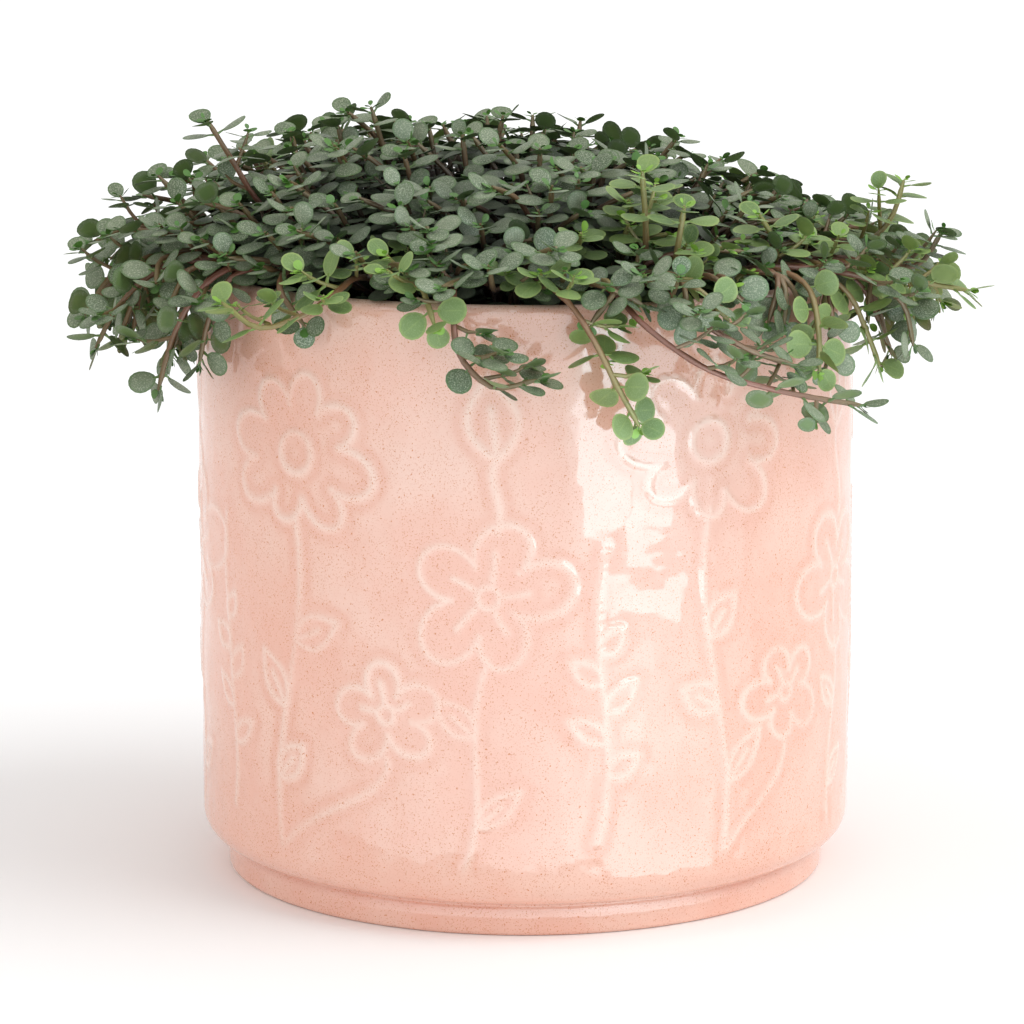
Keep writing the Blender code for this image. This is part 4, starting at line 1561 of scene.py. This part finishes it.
@dataclass(frozen=True)
class Blossom:
    """A drawn flower: lobed petals in one outline, a middle ring and lines in some petals."""
    across: float
    up: float
    radius: float
    petals: int = 5
    turn: float = 0.0
    core: float = 0.14
    lines: int = 5

    def strokes(self) -> list[np.ndarray]:
        """The flower's lines. The outline follows the root of a cosine, so that petals are full.

        Returns:
            The lines, each an array of points.
        """
        phi = np.linspace(0, 2 * np.pi, 300)
        lobe = np.abs(np.cos(self.petals * phi / 2)) ** 0.6
        uneven = 1 + 0.11 * np.sin(phi * 2 + self.turn * 5) + 0.07 * np.sin(3 * phi + self.turn * 9)
        deep = 0.42 if self.petals < 7 else 0.58
        reach = self.radius * (deep + (1 - deep) * lobe) * uneven
        turned = phi + self.turn
        outline = np.stack([reach * np.cos(turned), reach * np.sin(turned)], axis=1)
        ring = self.core * self.radius * np.stack([np.cos(phi), np.sin(phi)], axis=1)
        drawn = [outline, ring]
        for k in range(self.lines):
            angle = self.turn + 2 * np.pi * k / self.petals
            out = np.linspace(self.core + 0.08, 0.5 + 0.08 * (k % 2), 14) * self.radius
            bend = angle + 0.25 * (out / self.radius) ** 2
            drawn.append(np.stack([out * np.cos(bend), out * np.sin(bend)], axis=1))
        return [line + (self.across, self.up) for line in drawn]


@dataclass(frozen=True)
class LeafLoop:
    """A drawn leaf or bud: a pointed loop, its half width a sine along its length, and a midrib."""
    across: float
    up: float
    length: float
    width: float
    angle: float
    rib: bool = True

    def strokes(self) -> list[np.ndarray]:
        """The leaf's lines.

        Returns:
            The lines, each an array of points.
        """
        t = np.linspace(0, 1, 60)
        half = self.width / 2 * np.sin(np.pi * t ** 0.85)
        out = t * self.length
        edge = np.concatenate([np.stack([out, half], 1), np.stack([out, -half], 1)[::-1]])
        lines = [edge]
        if self.rib:
            lines.append(np.stack([t[:36] * self.length, 0 * t[:36]], 1))
        c, s = math.cos(self.angle), math.sin(self.angle)
        return [line @ np.array([[c, s], [-s, c]]) + (self.across, self.up) for line in lines]


@dataclass
class RaisedDrawing:
    """A generic flower pattern: columns of tall daisies and low blossoms, with buds and sprigs."""
    columns: int = 10
    line_width: float = 0.70
    line_height: float = 0.42
    reach: float = 5.1
    pool_gap: float = 2.4
    pool_width: float = 1.2
    foot_height: float = 15.2
    girth: float = math.tau * POT.radius
    rng: random.Random = field(default_factory=lambda: random.Random(11))

    def sprig(self, start: tuple[float, float], end: tuple[float, float], bend: float, leaves: int,
              size: float) -> list[np.ndarray]:
        """A curved stem with leaves on alternate sides.

        Args:
            start: Its foot, as distance along the wall and height.
            end: Its tip.
            bend: How far it bows sideways.
            leaves: How many leaves it has.
            size: The leaves' length.

        Returns:
            The lines.
        """
        rng = self.rng
        low, high = np.array(start), np.array(end)
        stem = bezier([start, tuple(low * 0.66 + high * 0.34 + (bend, 0)),
                       tuple(low * 0.34 + high * 0.66 - (bend, 0)), end])
        lines = [stem]
        for k in range(leaves):
            index = int((0.24 + 0.42 * k / max(leaves - 1, 1)) * (len(stem) - 2))
            ahead = stem[index + 1] - stem[index]
            side = 1 if k % 2 else -1
            angle = math.atan2(ahead[1], ahead[0]) + side * rng.uniform(0.65, 1.0)
            length, width = size * rng.uniform(0.8, 1.15), size * rng.uniform(0.42, 0.56)
            lines += LeafLoop(*stem[index], length, width, angle, size > 10).strokes()
        return lines

    def column(self, index: int) -> list[np.ndarray]:
        """The lines of one column: a stem from the foot to a flower, with smaller growth beside it.

        Args:
            index: The column's number round the pot.

        Returns:
            The lines, in millimetres along the wall and up it.
        """
        rng = self.rng
        pitch = self.girth / self.columns
        x = (index + 0.35) * pitch + rng.uniform(-2, 2)
        foot = (x + rng.uniform(-6, 6), self.foot_height)
        if index % 2 == 0:
            head = Blossom(x, 108 + rng.uniform(-4, 3), rng.uniform(18, 20), petals=8,
                           turn=rng.uniform(0, 1), core=0.24, lines=0)
            lines = self.sprig(foot, (x, head.up - head.radius * 0.8), rng.choice((-7, 7)), 3, 13)
            small = Blossom(x + 0.5 * pitch, 50 + rng.uniform(-4, 4), 12, turn=rng.uniform(0, 1.2),
                            core=0.16, lines=3)
            lines.append(bezier([(small.across, small.up - 10), (small.across + 2, 30),
                                 (foot[0] + 6, 26), foot], 40))
            return lines + head.strokes() + small.strokes()
        head = Blossom(x, 76 + rng.uniform(-4, 4), rng.uniform(17, 19), turn=rng.uniform(0, 1.2))
        lines = self.sprig(foot, (x, head.up - head.radius * 0.8), rng.choice((-5, 5)), 2, 11)
        bud = LeafLoop(x + rng.uniform(-4, 4), 107, 18, 11, math.pi / 2 + rng.uniform(-0.3, 0.3))
        between = x + 0.5 * pitch
        lines += self.sprig((between, 22), (between + rng.uniform(-4, 4), 88), 6, 5, 9)
        lines.append(bezier([(bud.across, bud.up), (bud.across - 3, bud.up - 6),
                             (x + 4, head.up + 22), (x + 2, head.up + head.radius * 0.85)], 30))
        return lines + head.strokes() + bud.strokes()

    def height(self, across: np.ndarray, up: np.ndarray) -> tuple[np.ndarray, np.ndarray]:
        """How far each place is from the nearest line, as a rounded ridge and a pool beside it.

        Args:
            across: Distance along the wall at each point.
            up: Height at each point.

        Returns:
            The ridge, from 0 to 1, and the pool, from 0 to 1.
        """
        nearest = np.full(across.shape, 99.0)
        for index in range(self.columns):
            for line in self.column(index):
                middle = (line.max(0) + line.min(0)) / 2
                half = (line.max(0) - line.min(0)) / 2 + self.reach
                offset = (across - middle[0] + self.girth / 2) % self.girth - self.girth / 2
                near = np.flatnonzero((np.abs(offset) < half[0])
                                      & (np.abs(up - middle[1]) < half[1]))
                place = np.stack([offset[near] + middle[0], up[near]], axis=1)
                gap = np.sqrt(((place[:, None] - line[None]) ** 2).sum(-1)).min(1)
                nearest[near] = np.minimum(nearest[near], gap)
        # The lines are pressed unevenly: two slow waves let them fade and come back.
        press = 0.78 + 0.22 * np.sin(0.17 * across + 0.9) * np.sin(0.13 * up + 0.05 * across)
        ridge = np.exp(-(nearest / self.line_width) ** 2) * press
        return ridge, np.exp(-((nearest - self.pool_gap) / self.pool_width) ** 2)


@dataclass
class Pot:
    """The glazed pot: a turned shell whose outer wall carries the raised drawing.

    Each wave of the wall has an amount, its number round the pot, its rate up it and its start.
    """
    columns: int = 660
    wall_rows: int = 164
    wall_low: float = 14.2
    wall_high: float = 133.0
    edge_fade: float = 3.0
    waves: tuple[tuple[float, float, float, float], ...] = (
        (0.16, 3, 0.03, 0), (0.07, 11, -0.07, 1), (0.08, 19, 0.16, 0), (0.08, 5, 0.19, 0))
    calm_below: float = 10.0
    calm_fade: float = 12.0

    @staticmethod
    def arc(r: float, z: float, size: float, start: float, end: float, count: int) -> np.ndarray:
        """Points on a round of the profile between two angles in degrees."""
        angle = np.radians(np.linspace(start, end, count + 1))
        return np.stack([r + size * np.cos(angle), z + size * np.sin(angle)], axis=1)

    def turned(self, profile: np.ndarray) -> tuple[np.ndarray, np.ndarray]:
        """Turns a profile about Z.

        Args:
            profile: Radius and height, one row a point, with the outer side running down.

        Returns:
            The points and the quads.
        """
        turn = np.arange(self.columns) * (2 * np.pi / self.columns)
        radius, height = profile[:, 0][:, None], profile[:, 1][:, None]
        points = np.stack([radius * np.cos(turn), radius * np.sin(turn), height + 0 * turn], -1)
        return points.reshape(-1, 3), ring_quads(len(profile), self.columns, down=True)

    def wobble(self, points: np.ndarray) -> np.ndarray:
        """A hand-made unevenness of the wall: a few slow waves round and up it, in millimetres.

        Args:
            points: Points on the wall.

        Returns:
            How far each point moves outwards.
        """
        turn = np.arctan2(points[:, 1], points[:, 0])
        z = points[:, 2]
        shift = sum(amount * np.sin(number * turn + rate * z + start)
                    for amount, number, rate, start in self.waves)
        return shift * np.clip((z - self.calm_below) / self.calm_fade, 0, 1)

    @staticmethod
    def pushed(points: np.ndarray, amount: np.ndarray) -> np.ndarray:
        """The points moved away from the axis.

        Args:
            points: The points.
            amount: How far each moves.

        Returns:
            The moved points.
        """
        out = points * (1, 1, 0)
        size = np.maximum(np.linalg.norm(out, axis=1, keepdims=True), 1e-6)
        return points + out / size * amount[:, None]

    def build_wall(self, glaze: bpy.types.Material) -> list[bpy.types.Object]:
        """The outer wall with its raised lines, as an upper and a lower band.

        Args:
            glaze: Its material.

        Returns:
            The two pieces.
        """
        height = np.linspace(self.wall_high, self.wall_low, self.wall_rows + 1)
        half = self.wall_rows // 2 + 1
        return [self.wall_band("pot_wall_upper", height[:half], glaze),
                self.wall_band("pot_wall_lower", height[half - 1:], glaze)]

    def wall_band(self, name: str, height: np.ndarray,
                  glaze: bpy.types.Material) -> bpy.types.Object:
        """A band of the wall: the drawing's ridge and the wobble push each point out from the axis.

        Args:
            name: The piece's name.
            height: The heights of its rows.
            glaze: Its material.

        Returns:
            The piece.
        """
        points, quads = self.turned(np.stack([0 * height + POT.radius, height], axis=1))
        drawing = RaisedDrawing()
        along = np.arctan2(points[:, 1], points[:, 0]) % (2 * np.pi) * POT.radius
        ridge, pool = drawing.height(along, points[:, 2])
        edge = np.minimum(self.wall_high - points[:, 2], points[:, 2] - self.wall_low)
        ends = np.clip(edge / self.edge_fade, 0, 1)
        points = self.pushed(points, self.wobble(points) + drawing.line_height * ridge * ends)
        parts = MeshParts()
        parts.add(points, quads, 0, raised=ridge * ends, pool=pool * ends * (1 - ridge))
        return self.piece(name, parts, glaze)

    def build_shell(self, glaze: bpy.types.Material) -> bpy.types.Object:
        """The rim, the inside, the rounded belly and the foot, which meet the wall's edges.

        Args:
            glaze: Its material.

        Returns:
            The piece.
        """
        inner = POT.radius - POT.wall
        foot_in = POT.foot_radius - POT.foot_width
        rim_low = POT.height - POT.rim_round
        upper = [np.array([[0.02, POT.floor_top], [inner - 5, POT.floor_top],
                           [inner - 1.5, POT.floor_top + 1.5], [inner, POT.floor_top + 5],
                           [inner, 90.0]]),
                 np.stack([np.full(6, inner), np.linspace(110, rim_low - 0.6, 6)], 1),
                 self.arc(POT.radius - POT.rim_round, rim_low, POT.rim_round, 180, 0, 12),
                 np.array([[POT.radius, 135.0], [POT.radius, self.wall_high]])]
        lower = [np.array([[POT.radius, self.wall_low]]),
                 self.arc(POT.radius - POT.belly_round, POT.foot_height + 0.4 + POT.belly_round,
                          POT.belly_round, 0, -80, 9),
                 np.array([[POT.foot_radius - 0.9, POT.foot_height + 0.1],
                           [POT.foot_radius - 0.7, 6.4], [POT.foot_radius, 5.7],
                           [POT.foot_radius, 3.4], [POT.foot_radius - 0.1, 1.2]]),
                 self.arc(POT.foot_radius - 1.1, 1.0, 1.0, -10, -90, 4),
                 np.array([[foot_in + 0.8, 0.0], [foot_in, 0.6], [foot_in - 0.6, POT.foot_recess],
                           [0.02, POT.foot_recess]])]
        parts = MeshParts()
        for profile in (np.concatenate(upper), np.concatenate(lower)):
            points, quads = self.turned(profile)
            outside = np.linalg.norm(points[:, :2], axis=1) > inner + 1.5
            points = self.pushed(points, self.wobble(points) * outside)
            worn = np.clip(1 - np.abs(points[:, 2] - POT.height) / 1.6, 0, 1) * 0.7
            pool = np.exp(-((points[:, 2] - POT.foot_height) / 0.9) ** 2) * outside
            parts.add(points, quads, 0, raised=worn, pool=pool)
        return self.piece("pot_shell", parts, glaze)

    @staticmethod
    def piece(name: str, parts: MeshParts, glaze: bpy.types.Material) -> bpy.types.Object:
        """Makes the piece.

        Args:
            name: The piece's name.
            parts: Its patches.
            glaze: Its material.

        Returns:
            The piece.
        """
        item = parts.piece(name, glaze)
        return item


@dataclass
class Soil:
    """Crumbly potting mix: a disc with lumps at three sizes, closed below.

    Each lump size has a length and an amount, in millimetres.
    """
    rings: int = 70
    columns: int = 150
    lumps: tuple[tuple[float, float], ...] = ((9.0, 1.1), (4.0, 0.8), (1.9, 0.55))
    waves: int = 7
    wall_gap: float = 0.35
    rise: float = 0.6
    depth: float = 10.0
    seed: int = 3

    def lump_height(self, x: np.ndarray, y: np.ndarray) -> np.ndarray:
        """The sum of bent waves in random directions at each lump size.

        Args:
            x: Distance to the right at each point.
            y: Distance behind at each point.

        Returns:
            The height of the lumps at each point.
        """
        rng = np.random.default_rng(self.seed)
        height = np.zeros_like(x)
        for size, amount in self.lumps:
            for _ in range(self.waves):
                angle, phase = rng.uniform(0, 2 * np.pi, 2)
                wave = np.cos(angle) * x + np.sin(angle) * y + 0.6 * size * np.sin(x / size + phase)
                height = height + amount / 3 * np.sin(2 * np.pi * wave / (size * 1.9) + phase)
        return height

    def build(self, finish: bpy.types.Material) -> bpy.types.Object:
        """Builds the soil, whose lumps lie on the packed soil's top and fade at the wall.

        Args:
            finish: Its material.

        Returns:
            The piece.
        """
        radius = POT.radius - POT.wall - self.wall_gap
        r = np.linspace(0.05, radius, self.rings)[:, None]
        turn = np.arange(self.columns)[None] * (2 * np.pi / self.columns)
        x, y = r * np.cos(turn), r * np.sin(turn)
        z = POT.soil_top + self.rise + self.lump_height(x, y) * np.clip((radius - r) / 3, 0.2, 1)
        top = np.stack([x, y, z], axis=-1).reshape(-1, 3)
        bottom = POT.soil_top - self.depth
        low = top[-self.columns:] * (1, 1, 0) + (0, 0, bottom)
        middle = np.array([[0, 0, bottom]]) + low * (0.001, 0.001, 0)
        parts = MeshParts()
        quads = ring_quads(self.rings + 2, self.columns, down=True)
        parts.add(np.concatenate([top, low, middle]), quads, 0)
        item = parts.piece("soil_crumbs", finish)
        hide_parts("soil")
        return item


@dataclass(frozen=True)
class GlossCard:
    """A bright card beside the pot: its angle and width in degrees, two heights and radiance."""
    azimuth: float
    width: float
    low: float
    high: float
    radiance: float


@dataclass(frozen=True)
class Studio:
    """The white sweep, the soft lights and the photo's camera, in metres."""
    camera_distance: float = 0.970
    camera_height: float = 0.2686
    pitch: float = 10.93
    lens: float = 150.2
    shift: float = -0.0127
    sensor: float = 36.0
    world: float = 0.92
    sun_strength: float = 1.02
    sun_azimuth: float = 72.0
    sun_elevation: float = 48.0
    sun_spread: float = 40.0
    floor_white: float = 0.95
    card_colour: Triple = (0.72, 0.93, 1.0)
    card_distance: float = 0.13
    card_height: float = 0.30
    card_start: float = -55.0
    card_step: float = 10.0
    card_radiance: tuple[float, ...] = (
        0.5, 1.0, 1.6, 2.2, 2.5, 2.7, 3.0, 4.0, 4.3, 4.2, 3.6, 2.0, 0.9, 0.7, 0.5, 0.4, 0.3, 0.1)
    panes: tuple[GlossCard, ...] = (
        GlossCard(19, 12, 0.079, 0.130, 5.4), GlossCard(31, 11, 0.075, 0.112, 5.8),
        GlossCard(30, 20, 0.060, 0.069, 5.2), GlossCard(24, 16, 0.02, 0.050, 1.6))

    def camera(self) -> None:
        """Sets up the camera at the photo's viewing angle."""
        data = bpy.data.cameras.new("photo_camera")
        data.lens = self.lens
        data.sensor_width = self.sensor
        data.shift_x = self.shift
        item = bpy.data.objects.new("photo_camera", data)
        item.location = (0, -self.camera_distance, self.camera_height)
        item.rotation_euler = (math.radians(90 - self.pitch), 0, 0)
        bpy.context.scene.collection.objects.link(item)
        bpy.context.scene.camera = item

    def gloss_card(self, card: GlossCard) -> None:
        """Stands one card beside the pot that only shows as a reflection in the glaze.

        Args:
            card: The card.
        """
        data = bpy.data.lights.new("gloss_card", "AREA")
        data.shape = "RECTANGLE"
        data.size = 2 * self.card_distance * math.tan(math.radians(card.width / 2))
        data.size_y = card.high - card.low
        data.energy = card.radiance * math.pi * data.size * data.size_y
        data.color = self.card_colour
        item = bpy.data.objects.new("gloss_card", data)
        away = self.towards(card.azimuth, 0)
        item.location = away * self.card_distance + Vector((0, 0, (card.low + card.high) / 2))
        item.rotation_euler = away.to_track_quat("Z", "Y").to_euler()
        item.visible_diffuse = False
        item.visible_camera = False
        bpy.context.scene.collection.objects.link(item)

    def gloss_cards(self) -> None:
        """Stands a fan of cards round the pot, and the window's panes in front of it."""
        for number, radiance in enumerate(self.card_radiance):
            azimuth = self.card_start + number * self.card_step
            self.gloss_card(GlossCard(azimuth, self.card_step, 0, self.card_height, radiance))
        for pane in self.panes:
            self.gloss_card(pane)

    def sun(self) -> None:
        """Adds a very soft distant light."""
        data = bpy.data.lights.new("soft_sun", "SUN")
        data.energy = self.sun_strength
        data.angle = math.radians(self.sun_spread)
        item = bpy.data.objects.new("soft_sun", data)
        away = self.towards(self.sun_azimuth, self.sun_elevation)
        item.rotation_euler = away.to_track_quat("Z", "Y").to_euler()
        bpy.context.scene.collection.objects.link(item)

    @staticmethod
    def towards(azimuth: float, elevation: float) -> Vector:
        """The direction at angles in degrees to the right of the front and above the floor."""
        a, e = math.radians(azimuth), math.radians(elevation)
        return Vector((math.sin(a) * math.cos(e), -math.cos(a) * math.cos(e), math.sin(e)))

    def floor(self) -> None:
        """Lays the white sweep."""
        mesh = bpy.data.meshes.new("floor")
        mesh.from_pydata([(-6, -3, 0), (6, -3, 0), (6, 9, 0), (-6, 9, 0)], [], [(0, 1, 2, 3)])
        item = bpy.data.objects.new("floor", mesh)
        white = (self.floor_white,) * 3
        mesh.materials.append(Nodes("white_sweep").finish(Base_Color=white, Roughness=0.9,
                                                          Specular_IOR_Level=0.0))
        bpy.context.scene.collection.objects.link(item)

    def build(self) -> None:
        """Sets up the whole studio."""
        world = bpy.data.worlds.new("white_room")
        world.use_nodes = True
        backdrop = world.node_tree.nodes["Background"]
        backdrop.inputs["Color"].default_value = (1, 1, 1, 1)
        backdrop.inputs["Strength"].default_value = self.world
        bpy.context.scene.world = world
        bpy.context.scene.view_settings.view_transform = "Standard"
        self.floor()
        self.camera()
        self.gloss_cards()
        self.sun()


SILVER_LEAF = LeafFinish(
    "silver_leaf_skin", silver=(0.208, 0.246, 0.152), shade=(0.066, 0.106, 0.046),
    speckle=(0.37, 0.405, 0.285), margin=(0.075, 0.142, 0.038), below=(0.118, 0.185, 0.050),
    young=(0.070, 0.190, 0.020))
LIME_LEAF = LeafFinish(
    "lime_leaf_skin", silver=(0.195, 0.285, 0.080), shade=(0.090, 0.165, 0.036),
    speckle=(0.30, 0.38, 0.16), margin=(0.27, 0.36, 0.10), below=(0.16, 0.24, 0.045),
    young=(0.22, 0.42, 0.035), speckle_share=0.35, rib_share=0.5)
RED_STEM = StemFinish("red_brown_stem", old=(0.165, 0.050, 0.024), fresh=(0.135, 0.090, 0.028))
OLIVE_STEM = StemFinish("olive_stem", old=(0.20, 0.088, 0.032), fresh=(0.22, 0.21, 0.05))


def build_foliage() -> None:
    """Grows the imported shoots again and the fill, and builds the pieces of both."""
    silver, lime = SILVER_LEAF.material(), LIME_LEAF.material()
    red, olive = RED_STEM.material(), OLIVE_STEM.material()
    maker = FoliageMaker({Tint.SILVER: [silver, red], Tint.LIME: [lime, olive]})
    growth = Growth()
    packed = growth.grow_packed()
    fill = FillGrowth(growth)
    for shoot in packed:
        fill.more_pairs(shoot)
        fill.twigs(shoot)
        fill.young_tips(shoot)
    groups = fill.grow()
    for shoot in packed:
        piece = maker.build("foliage_" + shoot.plan.name, [shoot])
        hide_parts("shoot_" + shoot.plan.name)
    for name, shoots in groups.items():
        maker.build(name, shoots)


def main() -> None:
    """Builds the pot, the soil and the foliage, then the studio."""
    logging.basicConfig(level=logging.INFO, format="%(name)s: %(message)s")
    glaze = GlazeFinish().material()
    pot = Pot()
    for item in (*pot.build_wall(glaze), pot.build_shell(glaze)):
        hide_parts("pot")
    Soil().build(SoilFinish().material())
    build_foliage()
    Studio().build()
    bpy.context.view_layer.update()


if __name__ == "__main__":
    main()
